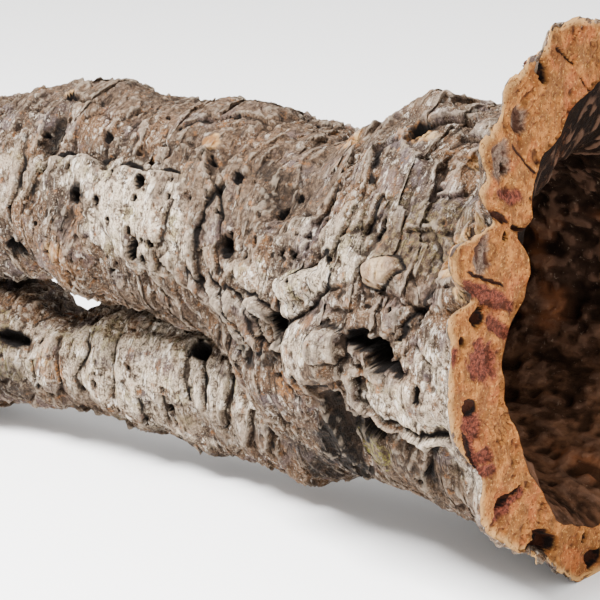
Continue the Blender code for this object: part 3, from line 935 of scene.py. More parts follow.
    def add_edges(self) -> None:
        """Drawn ledges: the lip's height falls off behind its line, and the bark in front drops away."""
        wobble = self.mixed(self.wobbles)
        broken = 0.75 + 0.55 * noise(self.place, *self.lip_breaks)
        for edge in self.tube.edges:
            signed, fade = self.beside(edge)
            signed = signed + wobble
            behind_lip = np.where(signed > 0, np.exp(-np.maximum(signed, 0) / edge.taper), 0)
            lip = behind_lip * smoothstep(-0.3, 0.7, signed)
            low = np.where(signed <= 0, np.exp(np.minimum(signed, 0) / edge.reach), 0)
            self.rise += MM * fade * (edge.height * broken * lip - edge.drop * low)
            self.push += MM * fade * 0.8 * broken * lip * (edge.points[0][1] > edge.points[-1][1])
            # Painted shade along the foot of the drop, under the lip.
            shade = np.exp(-(((signed + 1.3) / 1.5) ** 2)) * smoothstep(-0.6, 0.3, wobble)
            self.paint_shade(fade * edge.shade * shade)

    def beside(self, edge: Edge) -> tuple[np.ndarray, np.ndarray]:
        """Which side of an edge each point is on, from the nearest of its straight pieces.

        Args:
            edge: the edge.

        Returns:
            Millimetres from it, below 0 in front of it, and 0 for the points past its ends, else 1.
        """
        near = np.full_like(self.base, FAR)
        signed = np.full_like(self.base, FAR)
        last = len(edge.points) - 2
        for number, ((at, middle), (to, to_middle)) in enumerate(zip(edge.points, edge.points[1:])):
            along, around = self.offsets(at, middle)
            run = to - at
            rise = np.radians(to_middle - middle) * self.rows[..., 2] / MM
            t = np.clip((along * run + around * rise) / (run**2 + rise**2), 0, 1)
            away = np.hypot(along - t * run, around - t * rise)
            side = np.sign(run * around - rise * along)
            off_end = ((number == 0) & (t <= 0)) | ((number == last) & (t >= 1))
            closer = away < near
            near = np.where(closer, away, near)
            signed = np.where(closer, np.where(off_end, FAR, side * away), signed)
        return signed, (np.abs(signed) < FAR) * 1.0

    def add_torn(self) -> None:
        """Torn cork where fresh cork shows: coarse crumb from two sizes of noise, and small pits."""
        fresh = np.clip(self.films[Film.FRESH], 0, 1) * smoothstep(0.060, 0.020, self.behind)
        for cell, height, seed in self.torn_cork:
            self.rise += MM * height * fresh * noise(self.place, cell, seed)
        pit = smoothstep(0.20, 0.50, noise(self.place, *self.torn_pits)) * fresh
        self.rise -= MM * 1.6 * pit
        # Painted shade in the pits.
        self.paint_shade(0.55 * pit)

    def add_seam(self) -> None:
        """The crease where the two tubes meet: both skins sink towards it, and soil with painted shade darkens
        it.
        """
        broken = 0.6 + 0.4 * noise(self.place, *self.seam_breaks)
        self.rise -= MM * self.seam_depth * self.seam * broken
        self.cover(Film.SOIL_AND_SHADE, 1.1 * self.seam * broken)

    def add_holes(self) -> None:
        """Borer holes: steep pits with ragged rims, some drawn and the small ones strewn by a rule."""
        draw = np.random.default_rng(self.strewn_seed)
        holes = list(self.tube.holes)
        for _ in range(self.tube.strewn):
            size = draw.uniform(*self.strewn_sizes)
            at = draw.uniform(self.tube.bare, self.strewn_end) / MM
            middle = draw.uniform(0, 360)
            holes.append((at, middle, size, size * draw.uniform(0.8, 1.5), 3 + size))
        ragged = self.mixed(self.hole_rims)
        for at, middle, half_length, half_width, depth in holes:
            along, around = self.offsets(at, middle)
            r = np.hypot(along / half_length, around / half_width) + ragged
            well = 1 - smoothstep(0.80, 1.08, r)
            self.rise -= MM * depth * well * (1 - 0.25 * np.clip(r, 0, 1) ** 2)
            # Painted shade inside the holes.
            self.paint_shade(1 - smoothstep(0.92, 1.15, r))
            self.cover(Film.BROWN, 0.8 * (1 - smoothstep(0.9, 2.0, r)))

    def add_patches(self) -> None:
        """Films: each patch fades from its middle as 1 - r^2, with its border broken up by noise."""
        broken = self.mixed(self.patch_borders)
        for film, at, middle, half_length, half_width, strength in self.tube.patches:
            along, around = self.offsets(at, middle)
            r2 = (along / half_length) ** 2 + (around / half_width) ** 2
            self.cover(film, strength * smoothstep(0.0, 0.55, 1.05 - r2 + broken) * (r2 < 2.6))

    def sheet(self) -> Sheet:
        """Adds it all up.

        Returns:
            The skin, with the painted shade in its hollows and the films on it.
        """
        self.add_patches()
        self.free = 1 - 0.66 * np.clip(self.films[Film.PALE], 0, 1)  # pale bark is calmer
        self.add_plates()
        self.add_ledges()
        self.add_wrinkles()
        self.add_slabs()
        self.add_edges()
        self.add_torn()
        self.add_seam()
        # How far each point lies below what is around it, at three scales: reach in grid steps, depth in
        # millimetres and share. The widest takes in the solid's own form.
        # The bark's material paints highlights where this is low and shade where it is high.
        sunk = 0
        for form, reach, depth, share in (
            (self.rise, 2, 0.7, 0.35),
            (self.rise, 6, 1.4, 0.35),
            (self.base + self.rise, 16, 4.0, 0.30),
        ):
            sunk = sunk + share * np.clip((blurred(form, reach) - form) / (depth * MM), -1, 1)
        self.add_holes()
        points = on_tube(self.behind, self.angle, self.rows, self.base + self.rise)
        calm = np.clip(np.minimum(self.behind, LENGTH - self.behind) / (4 * MM), 0, 1)
        points[..., 0] += self.push * calm
        points = np.clip(points, LOW_CORNER, HIGH_CORNER)
        films = {film.value: np.clip(cover, 0, 1.5) for film, cover in self.films.items()}
        return Sheet(points, {**films, "sunk": 0.5 + 0.5 * sunk, "painted_shade": self.painted_shade, "tone": self.tone})


def srgb(text: str) -> tuple[float, float, float, float]:
    """A colour's hex value as linear light: each channel through the sRGB curve."""
    channels = (int(text[k : k + 2], 16) / 255 for k in (1, 3, 5))
    return (*(c / 12.92 if c <= 0.04045 else ((c + 0.055) / 1.055) ** 2.4 for c in channels), 1.0)


def add_node(
    tree: bpy.types.NodeTree, kind: str, inputs: dict | None = None, output: str | int = 0, **settings: object
) -> bpy.types.NodeSocket | None:
    """Adds a node with its settings and links.

    Args:
        tree: where to.
        kind: its type.
        inputs: a value or another node's socket for each input, by name or number.
        output: the output wanted.
        settings: its properties.

    Returns:
        The output's socket, where it has one.
    """
    made = tree.nodes.new(kind)
    for key, value in settings.items():
        setattr(made, key, value)
    for key, value in (inputs or {}).items():
        if isinstance(value, bpy.types.NodeSocket):
            tree.links.new(value, made.inputs[key])
        else:
            made.inputs[key].default_value = value
    return made.outputs[output] if len(made.outputs) else None


# Numbers of the mix node's sockets when it mixes colours
MIX_SHARE, MIX_UNDER, MIX_OVER, MIX_RESULT = 0, 6, 7, 2


@dataclass(frozen=True)
class Pattern:
    """Noise from 0 to 1, drawn out along the axes that STRETCH makes small."""

    name: str
    size: float  # of its grain
    detail: float = 3.0
    rough: float = 0.55
    seed: float = 0.0
    stretch: tuple = (1, 1, 1)


@dataclass(frozen=True)
class Total:
    """A sum of other sources, each by its weight."""

    name: str
    parts: tuple  # of names and weights


@dataclass(frozen=True)
class Step:
    """A source through a smooth step from LOW to HIGH, which runs from BOTTOM to TOP."""

    source: str
    low: float
    high: float
    bottom: float = 0.0
    top: float = 1.0


@dataclass(frozen=True)
class Coat:
    """A colour laid over those below it, by the product of its factors, and by CAP at most."""

    colour: str
    factors: tuple  # of steps, or of names of films that are taken as they are
    cap: float = 1.0
    other: str = ""  # a second colour that takes over from the first
    blend: Step | None = None  # where it does


@dataclass(frozen=True)
class Finish:
    """One material: its patterns, its coats of colour from the bottom up, and its fine relief."""

    name: str
    patterns: tuple
    base: str
    coats: tuple
    relief: tuple  # sources or steps, each with its weight
    depth: float  # of that relief
    roughness: Step
    gloss: float  # the shader's level of specular light

    def material(self) -> bpy.types.Material:
        """Builds the node tree.

        Returns:
            The material.
        """
        material = bpy.data.materials.new(self.name)
        material.use_nodes = True
        tree = material.node_tree
        tree.nodes.clear()
        place = add_node(tree, "ShaderNodeTexCoord", output="Object")
        known = {}
        for source in self.patterns:
            if isinstance(source, Total):
                known[source.name] = self.total(tree, known, source.parts)
                continue
            offset = (source.seed, source.seed * 0.7, 0)
            moved = add_node(
                tree, "ShaderNodeMapping", {"Vector": place, "Scale": source.stretch, "Location": offset}
            )
            scale = {"Scale": 1 / source.size, "Detail": source.detail, "Roughness": source.rough}
            known[source.name] = add_node(tree, "ShaderNodeTexNoise", {"Vector": moved, **scale}, "Fac")
        colour = srgb(self.base)
        for coat in self.coats:
            share = self.value(tree, known, coat.factors[0])
            for factor in coat.factors[1:]:
                inputs = {0: share, 1: self.value(tree, known, factor)}
                share = add_node(tree, "ShaderNodeMath", inputs, operation="MULTIPLY")
            if coat.cap < 1:
                share = add_node(tree, "ShaderNodeMath", {0: share, 1: coat.cap}, operation="MINIMUM")
            over = srgb(coat.colour)
            if coat.blend:
                blend = self.value(tree, known, coat.blend)
                inputs = {MIX_SHARE: blend, MIX_UNDER: over, MIX_OVER: srgb(coat.other)}
                over = add_node(tree, "ShaderNodeMix", inputs, MIX_RESULT, data_type="RGBA")
            inputs = {MIX_SHARE: share, MIX_UNDER: colour, MIX_OVER: over}
            colour = add_node(tree, "ShaderNodeMix", inputs, MIX_RESULT, data_type="RGBA")
        height = self.total(tree, known, self.relief)
        bump = add_node(tree, "ShaderNodeBump", {"Height": height, "Distance": self.depth, "Strength": 1.0})
        dressed = {"Base Color": colour, "Roughness": self.value(tree, known, self.roughness), "Normal": bump}
        shader = add_node(tree, "ShaderNodeBsdfPrincipled", {**dressed, "Specular IOR Level": self.gloss})
        add_node(tree, "ShaderNodeOutputMaterial", {"Surface": shader})
        return material

    def value(self, tree: bpy.types.NodeTree, known: dict, source: Step | str) -> bpy.types.NodeSocket:
        """The socket of a source: a pattern that is known, or else a film that the mesh carries.

        Args:
            tree: the material's nodes.
            known: the sockets so far, by name. A film's is added when it is first met.
            source: a name, or a step of one.

        Returns:
            The socket.
        """
        name = source if isinstance(source, str) else source.source
        if name not in known:
            known[name] = add_node(tree, "ShaderNodeAttribute", output="Fac", attribute_name=name)
        if isinstance(source, str):
            return known[name]
        span = {"From Min": source.low, "From Max": source.high, "To Min": source.bottom, "To Max": source.top}
        return add_node(
            tree, "ShaderNodeMapRange", {"Value": known[name], **span}, interpolation_type="SMOOTHSTEP"
        )

    def total(self, tree: bpy.types.NodeTree, known: dict, parts: tuple) -> bpy.types.NodeSocket:
        """Adds sources up, each by its weight.

        Args:
            tree: the material's nodes.
            known: the sockets so far, by name.
            parts: sources and weights.

        Returns:
            The sum's socket.
        """
        running = 0.0
        for source, weight in parts:
            inputs = {0: self.value(tree, known, source), 1: weight, 2: running}
            running = add_node(tree, "ShaderNodeMath", inputs, operation="MULTIPLY_ADD")
        return running


# Virgin cork's outer bark, grown and weathered: dull grey-brown from plate to plate, streaked round the tube,
# with painted shade in its cracks, holes and hollows and painted highlights on raised parts, crusted with
# lichen and moss. Its grain of
# 0.8 mm is the finest that shows.
SPECK = Step("speck", 0.40, 0.30, 0.0, 0.75)
HAIR = Step("hair", 0.43, 0.35, 0.0, 0.8)
WEATHERED_BARK = Finish(
    name="weathered_virgin_cork_bark",
    patterns=(
        Pattern("medium", 8.0 * MM, 4, 0.60, 3.0),
        Pattern("fine", 2.1 * MM, 5, 0.68, 5.0),
        Pattern("streak", 2.6 * MM, 4, 0.65, 7.0, (2.6, 0.22, 0.22)),
        Pattern("grain", 0.8 * MM, 3, 0.75, 9.0),
        Pattern("hair", 2.2 * MM, 3, 0.60, 21.0, (3.4, 0.20, 0.20)),
        Pattern("broad", 30.0 * MM),
        Pattern("lilac", 14.0 * MM, seed=23.0),
        Pattern("lichen", 12.0 * MM, seed=17.0),
        Pattern("speck", 1.5 * MM, 2, 0.50, 13.0),
        Pattern("fleck", 3.4 * MM, 4, 0.72, 33.0, (1.3, 0.6, 0.6)),
        Pattern("stain", 5.5 * MM, 4, 0.70, 27.0),
        Total("shade", (("tone", 0.55), ("medium", 0.75))),
        Total("spread", (("medium", 0.9), ("fine", 0.9))),
    ),
    base="#38291F",
    coats=(
        Coat("#6F5845", (Step("shade", 0.42, 1.00),)),
        Coat("#785538", (Step("broad", 0.45, 0.62, 0.0, 0.75),)),
        Coat("#A8937B", (Step("fine", 0.54, 0.67, 0.0, 0.6),)),
        Coat("#33281F", (Step("fine", 0.48, 0.34, 0.0, 0.8),)),
        Coat("#D2BFA8", (Step("grain", 0.55, 0.67, 0.0, 0.6),)),
        Coat("#2E241C", (Step("grain", 0.46, 0.33, 0.0, 0.68),)),
        Coat("#6E6163", (Step("lilac", 0.52, 0.64, 0.0, 0.5),)),
        Coat("#4E4036", (Step("streak", 0.50, 0.34, 0.0, 0.85),)),
        Coat(
            "#D8C4AB", ("pale", Step("spread", 0.74, 1.02), Step("grain", 0.38, 0.52, 0.30, 1.0)),
            other="#B2A37C", blend=Step("lichen", 0.52, 0.68),
        ),
        Coat("#33291F", (SPECK,)),
        Coat("#F6E9D8", (Step("fleck", 0.55, 0.64, 0.0, 0.95), Step("pale", 0.0, 0.8, 0.5, 1.0))),
        Coat(
            "#3F3127", ("brown", Step("medium", 0.25, 0.6, 0.35, 0.9)),
            other="#7B6450", blend=Step("fine", 0.35, 0.7),
        ),
        Coat("#2E241C", (HAIR,)),
        Coat("#93602F", ("rust", Step("fine", 0.42, 0.62)), 0.8),
        Coat("#77702F", ("moss", Step("fine", 0.46, 0.60))),
        Coat(
            "#8E6036", ("fresh", Step("fine", 0.30, 0.50, 0.40, 1.0)), 0.9,
            other="#CBA46E", blend=Step("medium", 0.4, 0.6),
        ),
        Coat("#8C5F39", (Step("stain", 0.585, 0.67, 0.0, 0.7),)),
        # Soil with painted shade: near black in hollows, holes and creases.
        Coat(
            "#0C0805", ("soil_and_shade", Step("medium", 0.25, 0.6, 0.45, 1.0)), 0.94,
            other="#33271D", blend=Step("fine", 0.45, 0.72),
        ),
        # Painted highlight on raised parts, and painted shade in the hollows, from how sunk each point is.
        Coat("#C3B09A", (Step("sunk", 0.40, 0.12, 0.0, 0.36),)),
        Coat("#30241B", (Step("sunk", 0.57, 0.88, 0.0, 0.88),)),
        # Painted shade in cracks, pits, holes and under ledges.
        Coat("#120C08", (Step("painted_shade", 0.2, 0.75),)),
    ),
    relief=(("grain", 1.1), ("fine", 1.7), ("streak", 1.1), (SPECK, -0.6), (HAIR, -0.625)),
    depth=1.8 * MM,
    roughness=Step("fine", 0.2, 0.8, 0.82, 0.96),
    gloss=0.15,
)

# Cork across a saw cut: warm tan with salmon zones, finely pored, with thin growth lines along the wall and
# brown woody inclusions, and painted shade in its pits, cracks and lower places.
SAWN_CORK = Finish(
    name="sawn_cork",
    patterns=(
        Pattern("medium", 5.0 * MM, 4, 0.60, 4.0),
        Pattern("fine", 1.3 * MM, 5, 0.72, 6.0),
        Pattern("zone", 18.0 * MM, 2, seed=2.0),
        Pattern("shade", 10.0 * MM, 4, seed=31.0),
        Pattern("pore", 1.2 * MM, 1, 0.30, 8.0),
    ),
    base="#79471F",
    coats=(
        Coat("#A66C34", (Step("medium", 0.35, 0.65),)),
        Coat("#94492A", (Step("zone", 0.50, 0.64, 0.0, 0.5),)),
        Coat("#65401F", (Step("shade", 0.465, 0.58, 0.0, 0.75),)),
        Coat("#D19B58", (Step("fine", 0.53, 0.70, 0.0, 0.8),)),
        Coat("#6F3C1C", (Step("fine", 0.46, 0.34, 0.0, 0.6),)),
        Coat("#CDA066", (Step("across", 0.16, 0.02, 0.0, 0.7),)),
        Coat("#5E3018", (Step("pore", 0.38, 0.28, 0.0, 0.8),)),
        Coat("#6E3A1B", (Step("line", 0.25, 0.8), Step("medium", 0.35, 0.6, 0.35, 0.85))),
        Coat("#3E1A10", ("lens",), other="#7E4230", blend=Step("fine", 0.4, 0.62)),
        Coat("#4C3B31", ("nodule",), other="#7D6757", blend=Step("fine", 0.4, 0.62)),
        # Painted shade in the pits and cracks that the saw cut through.
        Coat("#120905", (Step("pit", 0.15, 0.7),)),
        # Painted shade where the face lies lower than around it.
        Coat("#3A1C0E", (Step("sunk", 0.56, 0.9, 0.0, 0.8),)),
    ),
    relief=(("fine", 1.0), ("medium", 1.0), (Step("pore", 0.38, 0.28), -0.7)),
    depth=1.0 * MM,
    roughness=Step("fine", 0.2, 0.8, 0.80, 0.95),
    gloss=0.15,
)

# The inner face where the wood came away, dried and coarsely ridged: near black, with painted shade in the
# furrows, dark brown on the ridges with a painted highlight, with worn patches, lighter brown on its lower
# side, and painted shade on its upper side just inside the mouth.
INNER_BARK = Finish(
    name="dried_inner_bark",
    patterns=(
        Pattern("medium", 8.0 * MM, 4, seed=4.0, stretch=(0.5, 1, 1)),
        Pattern("fine", 2.2 * MM, 5, 0.70, 6.0),
        Pattern("worn", 40.0 * MM, seed=2.0, stretch=(0.7, 1, 1)),
    ),
    base="#1A110C",
    coats=(
        Coat("#33241B", (Step("medium", 0.35, 0.65),)),
        Coat("#7A4B30", (Step("worn", 0.50, 0.66, 0.0, 0.9),)),
        Coat("#8D7866", (Step("fine", 0.58, 0.76, 0.0, 0.7),)),
        # Lighter brown on the lower side.
        Coat("#6C4A35", ("lower_side", Step("medium", 0.38, 0.60, 0.20, 0.75))),
        # Painted shade on the upper side just inside the mouth.
        Coat("#0F0906", ("painted_rim_shade", Step("fine", 0.62, 0.48, 0.6, 0.97))),
        # Painted shade in the furrows, and a painted highlight on the ridges.
        Coat("#140D08", (Step("sunk", 0.50, 0.95, 0.0, 0.78),)),
        Coat("#6E5140", (Step("sunk", 0.40, 0.10, 0.0, 0.4),)),
    ),
    relief=(("fine", 1.2), ("medium", 1.2)),
    depth=1.6 * MM,
    roughness=Step("fine", 0.2, 0.8, 0.7, 0.95),
    gloss=0.02,
)


class Maker:
    """Puts finished pieces into the scene and tells the frame what they stand for."""

    def __init__(self) -> None:
        """Starts with no triangles."""
        self.triangles = 0

    def piece(self, name: str, points: np.ndarray, faces: np.ndarray, normals: np.ndarray | None,
              films: dict[str, np.ndarray], finish: bpy.types.Material) -> bpy.types.Object:
        """Makes one mesh piece that rides on the bark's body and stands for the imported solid.

        Args:
            name: the piece's name.
            points: one row for each vertex.
            faces: vertex numbers of quads or triangles (a triangle repeats its last one).
            normals: one row for each vertex, or None to let the mesh work them out.
            films: one value for each vertex, by name.
            finish: its material.

        Returns:
            The piece.
        """
        used, compact = np.unique(faces, return_inverse=True)
        compact = compact.reshape(faces.shape)
        rows = [row[:3] if row[2] == row[3] else row for row in compact.tolist()]
        mesh = bpy.data.meshes.new(name)
        mesh.from_pydata(points[used].tolist(), [], rows)
        mesh.shade_smooth()
        for film, value in films.items():
            layer = mesh.attributes.new(film, "FLOAT", "POINT")
            layer.data.foreach_set("value", value.ravel()[used].astype(np.float32))
        mesh.materials.append(finish)
        if normals is not None:
            mesh.normals_split_custom_set_from_vertices(normals[used].tolist())
        obj = bpy.data.objects.new(name, mesh)
        bpy.context.scene.collection.objects.link(obj)
        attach(obj, BODY)
        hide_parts(NODE)
        count = sum(len(row) - 2 for row in rows)
        self.triangles += count
        LOG.info("%s: %d triangles", name, count)
        return obj


def tube_faces(rings: int, sides: int, outwards: bool) -> np.ndarray:
    """Quads between neighbouring rings and sides of a grid that closes round the tube.

    Args:
        rings: how many rings.
        sides: points in each.
        outwards: which way the quads face.

    Returns:
        Vertex numbers, (rings - 1) x sides x 4.
    """
    index = np.arange(rings * sides).reshape(rings, sides)
    beside = np.roll(index, -1, axis=1)
    quads = np.stack([index[:-1], index[1:], beside[1:], beside[:-1]], axis=-1)
    return quads if outwards else quads[..., ::-1]


def whole_quads(inside: np.ndarray) -> np.ndarray:
    """Which of those quads have all four corners inside.

    Args:
        inside: true or false for each point, rings x sides.

    Returns:
        True or false for each quad.
    """
    beside = np.roll(inside, -1, axis=1)
    return inside[:-1] & inside[1:] & beside[1:] & beside[:-1]


@dataclass
class Skin:
    """The weathered outside of one tube, in bands along its length."""

    tube: Tube
    start: float
    rings: int
    sides: int
    bands: int
    other: Tube
    overlap: float = 0.007  # metres that the skins run on inside one another where the branches part
    fine_side: float = 161.0  # degrees, the side that the photograph shows

    def build(self, maker: Maker, finish: bpy.types.Material) -> Sheet:
        """Makes the bands.

        Args:
            maker: puts them into the scene.
            finish: the bark's material.

        Returns:
            The whole skin, for the sawn faces that join it.
        """
        behind = np.linspace(self.start, LENGTH, self.rings)
        angle = side_angles(self.sides, self.fine_side)
        sheet = Relief(self.tube, self.other, behind, angle).sheet()
        faces = tube_faces(self.rings, self.sides, True)
        kept = ~whole_quads(self.other.depth(sheet.points, hollow=False) > self.overlap)
        normals = sheet.normals().reshape(-1, 3)
        points = sheet.points.reshape(-1, 3)
        for band, rows in enumerate(np.array_split(np.arange(self.rings - 1), self.bands)):
            chosen = faces[rows][kept[rows]]
            maker.piece(f"{self.tube.name}_bark_{band + 1}", points, chosen, normals, sheet.films, finish)
        return sheet


@dataclass
class Hollow:
    """The inner face of one tube."""

    tube: Tube
    start: float
    rings: int
    sides: int
    other: Tube
    # Ridges drawn out along the tube, lumps and crumb: size in metres, height in millimetres, seed, and the
    # share that goes into the painted shade and highlight.
    layers: tuple = (
        ((0.050, 0.009, 0.009), 1.6, 201, 0.0),
        ((0.016, 0.005, 0.005), 0.9, 202, 1.0),
        (0.012, 1.7, 203, 0.35),
        (0.0055, 1.3, 204, 1.0),
        (0.0028, 1.0, 205, 1.0),
    )

    def build(self, maker: Maker, finish: bpy.types.Material) -> Sheet:
        """Makes the inner face, with its rings closer together towards the mouth.

        Args:
            maker: puts it into the scene.
            finish: its material.

        Returns:
            The face's grid, for the sawn faces that join it.
        """
        behind, angle = np.meshgrid(
            self.start + (LENGTH - self.start) * np.linspace(0, 1, self.rings) ** 1.5,
            side_angles(self.sides, 0.0, 0.6),
            indexing="ij",
        )
        rows, radius = self.tube.bore_radius(behind, angle)
        place = on_tube(behind, angle, rows, radius)
        calm = np.clip(behind / (4 * MM), 0.55, 1)
        rise = np.zeros_like(radius)
        sunk = np.zeros_like(radius)
        for cell, height, seed, read in self.layers:
            part = height * calm * noise(place, cell, seed)
            rise += MM * part
            sunk = sunk + read * part
        sunk = np.clip(sunk / 1.1, -1, 1)
        points = on_tube(behind, angle, rows, radius + rise)
        # Lighter brown towards the bottom.
        lower_side = smoothstep(0.100, 0.045, points[..., 2])
        # Painted shade on the upper side just inside the mouth.
        painted_rim_shade = smoothstep(0.075, 0.010, behind) * smoothstep(0.100, 0.150, points[..., 2])
        sheet = Sheet(points, {"sunk": 0.5 + 0.5 * sunk, "lower_side": lower_side, "painted_rim_shade": painted_rim_shade})
        faces = tube_faces(self.rings, self.sides, False)
        kept = ~whole_quads(self.other.depth(points, hollow=True) > 0)
        maker.piece(
            f"{self.tube.name}_hollow", points.reshape(-1, 3), faces[kept],
            -sheet.normals().reshape(-1, 3), sheet.films, finish,
        )
        return sheet


class Mark(Enum):
    """What the saw cut through."""

    LENS = "lens"
    NODULE = "nodule"
    PIT = "pit"
    CRACK = "crack"


# Marks on the mouth's sawn face: kind, millimetres across and up from the mouth's centre, half length, half
# width, tilt in degrees and depth in millimetres.
MOUTH_MARKS = (
    (Mark.NODULE, -90, 74, 7, 8, 0, 1.5),
    (Mark.PIT, -87, 70, 2, 2, 0, 5),
    (Mark.NODULE, -77, 87, 5, 6, 20, 3),
    (Mark.PIT, -61, 104, 3.4, 5, 15, 7),
    (Mark.CRACK, -44, 107, 9, 0.8, -35, 2.5),
    (Mark.CRACK, -28, 92, 9, 0.7, -45, 2.0),
    (Mark.LENS, -83, 58, 8, 2.6, -18, 0.8),
    (Mark.CRACK, -90, 51, 9, 1.4, -25, 3),
    (Mark.CRACK, -76, 44, 7, 1.0, -22, 3),
    (Mark.PIT, -86, 43, 1.8, 1.8, 0, 4),
    (Mark.NODULE, -102, 38, 6, 8, 0, 1.2),
    (Mark.CRACK, -98, 28, 14, 0.8, -22, 2),
    (Mark.LENS, -97, 21, 17, 3.0, -24, 1.2),
    (Mark.PIT, -104, 14, 5, 3.6, -10, 5),
    (Mark.LENS, -91, 8, 8, 3.4, -28, 1.4),
    (Mark.PIT, -114, 7, 2.2, 2.2, 0, 5),
    (Mark.LENS, -100, -4, 10, 7, -30, 1.2),
    (Mark.LENS, -120, 2, 2.2, 4, 0, 0.6),
    (Mark.PIT, -109, -21, 6, 3.4, -20, 3.5),
    (Mark.LENS, -107, -28, 7, 5, -20, 1.4),
    (Mark.CRACK, -108, -38, 12, 1.6, -62, 1.5),
    (Mark.LENS, -106, -40, 11, 2.0, -64, 1.0),
    (Mark.LENS, -98, -43, 6, 3, -10, 1.6),
    (Mark.LENS, -96, -50, 6, 2.4, -10, 1.0),
    (Mark.CRACK, -81, -66, 13, 1.8, 16, 4),
    (Mark.LENS, -82, -69, 12, 2.6, 18, 1.2),
    (Mark.PIT, -53, -92, 12, 5.5, -16, 9),
    (Mark.PIT, -12, -111, 7, 4, 0, 6),
    (Mark.PIT, -21, -98, 3, 1.6, 60, 4),
    (Mark.CRACK, -74, 71, 13, 0.6, -40, 1.4),
    (Mark.CRACK, -64, 51, 9, 0.6, -40, 1.2),
)


@dataclass
class SawnFace:
    """A sawn ring of cork between a skin's last ring and a hollow's."""

    name: str
    skin: Sheet
    hollow: Sheet
    ring: int  # which ring of both grids it joins: 0 or -1
    levels: int
    marks: tuple
    seed: int
    inwards: float  # direction along X into the cork
    lens_growth: float = 1.22  # the drawn inclusions are this much wider than their row says
    growth_lines: int = 9  # across the wall

    def build(self, maker: Maker, finish: bpy.types.Material) -> None:
        """Makes the face: straight lines from skin to hollow, sunk by the marks, pores and saw's tracks.

        Args:
            maker: puts it into the scene.
            finish: the sawn cork's material.
        """
        outer = self.skin.points[self.ring]
        inner = self.hollow.points[self.ring]
        centre = inner[:, 1:].mean(axis=0)
        outer_turn = np.unwrap(np.arctan2(*(outer[:, 1:] - centre).T[::-1]))
        inner_turn = np.unwrap(np.arctan2(*(inner[:, 1:] - centre).T[::-1]))
        inner_turn = inner_turn + 2 * np.pi * round((outer_turn[0] - inner_turn[0]) / (2 * np.pi))
        around = np.arange(len(outer_turn))
        reach = np.concatenate([inner_turn - 2 * np.pi, inner_turn, inner_turn + 2 * np.pi])
        looped = np.tile(inner, (3, 1))
        facing = np.stack([np.interp(outer_turn, reach, looped[:, axis]) for axis in range(3)], axis=-1)
        share = np.linspace(0, 1, self.levels)[:, None, None]
        flat = outer[None] * (1 - share) + facing[None] * share
        relief, films = self.worn(flat, share[..., 0] * np.ones(len(around)))
        flat[..., 0] += self.inwards * relief * np.sin(np.pi * np.clip(share[..., 0] * 12, 0, 0.5))
        points = flat[:-1].reshape(-1, 3)
        rows = self.levels - 1
        quads = tube_faces(rows, len(around), self.inwards < 0).reshape(-1, 4)
        last = (rows - 1) * len(around) + around
        joined = len(points) + np.arange(len(inner))
        strip = stitched(last, outer_turn, joined, inner_turn, self.inwards < 0)
        points = np.concatenate([points, inner])
        for name, value in films.items():
            at_hollow = np.interp(inner_turn, outer_turn, value[-1], period=2 * np.pi)
            films[name] = np.concatenate([value[:-1].ravel(), at_hollow])
        maker.piece(self.name, points, np.concatenate([quads, strip]), None, films, finish)

    def worn(self, flat: np.ndarray, share: np.ndarray) -> tuple[np.ndarray, dict[str, np.ndarray]]:
        """How far each point lies below the saw's plane, and the films there.

        Args:
            flat: the points on the plane.
            share: 0 at the skin and 1 at the hollow.

        Returns:
            The depth in metres, and the films by name.
        """
        across = (flat[..., 1] - AXIS_OFFSET) / MM
        up = (flat[..., 2] - AXIS_HEIGHT) / MM
        depth = 0.45 + 0.55 * noise(flat, 0.006, self.seed) + 0.45 * noise(flat, 0.0022, self.seed + 1)
        torn = noise(flat, 0.009, self.seed + 7) + 0.4 * noise(flat, 0.003, self.seed + 8)
        depth = depth + 1.3 * smoothstep(0.25, 0.6, torn)
        films = {name: np.zeros_like(share) for name in ("lens", "nodule", "pit")}
        ragged = 0.28 * noise(flat, 0.0035, self.seed + 2) + 0.12 * noise(flat, 0.0014, self.seed + 3)
        for mark, y, z, half_length, half_width, tilt, sunk in self.marks:
            turn = np.radians(tilt)
            along = (across - y) * np.cos(turn) + (up - z) * np.sin(turn)
            aside = (up - z) * np.cos(turn) - (across - y) * np.sin(turn)
            wide = self.lens_growth if mark is Mark.LENS else 1.0
            r = np.hypot(along / half_length, aside / half_width) / wide + ragged
            cover = 1 - smoothstep(0.8, 1.1, r)
            depth = depth + sunk * (1 - smoothstep(0.6, 1.1, r))
            # Pits and cracks share the film that the cork's material paints shade with.
            film = {Mark.LENS: "lens", Mark.NODULE: "nodule"}.get(mark, "pit")
            films[film] = np.maximum(films[film], cover)
        stray = share * self.growth_lines + 0.8 * noise(flat, 0.012, self.seed + 4)
        stray = stray + 0.3 * noise(flat, 0.004, self.seed + 5)
        shown = smoothstep(-0.1, 0.5, noise(flat, 0.016, self.seed + 6))
        films["line"] = (0.5 + 0.5 * np.cos(2 * np.pi * stray)) ** 6 * shown
        films["across"] = share
        depth = depth + 0.5 * films["line"]
        # How much lower each point lies than around it, for the painted shade.
        films["sunk"] = np.clip(0.5 + 0.5 * (depth - blurred(depth, 3)) / 0.9, 0, 1)
        return np.maximum(depth, 0) * MM, films


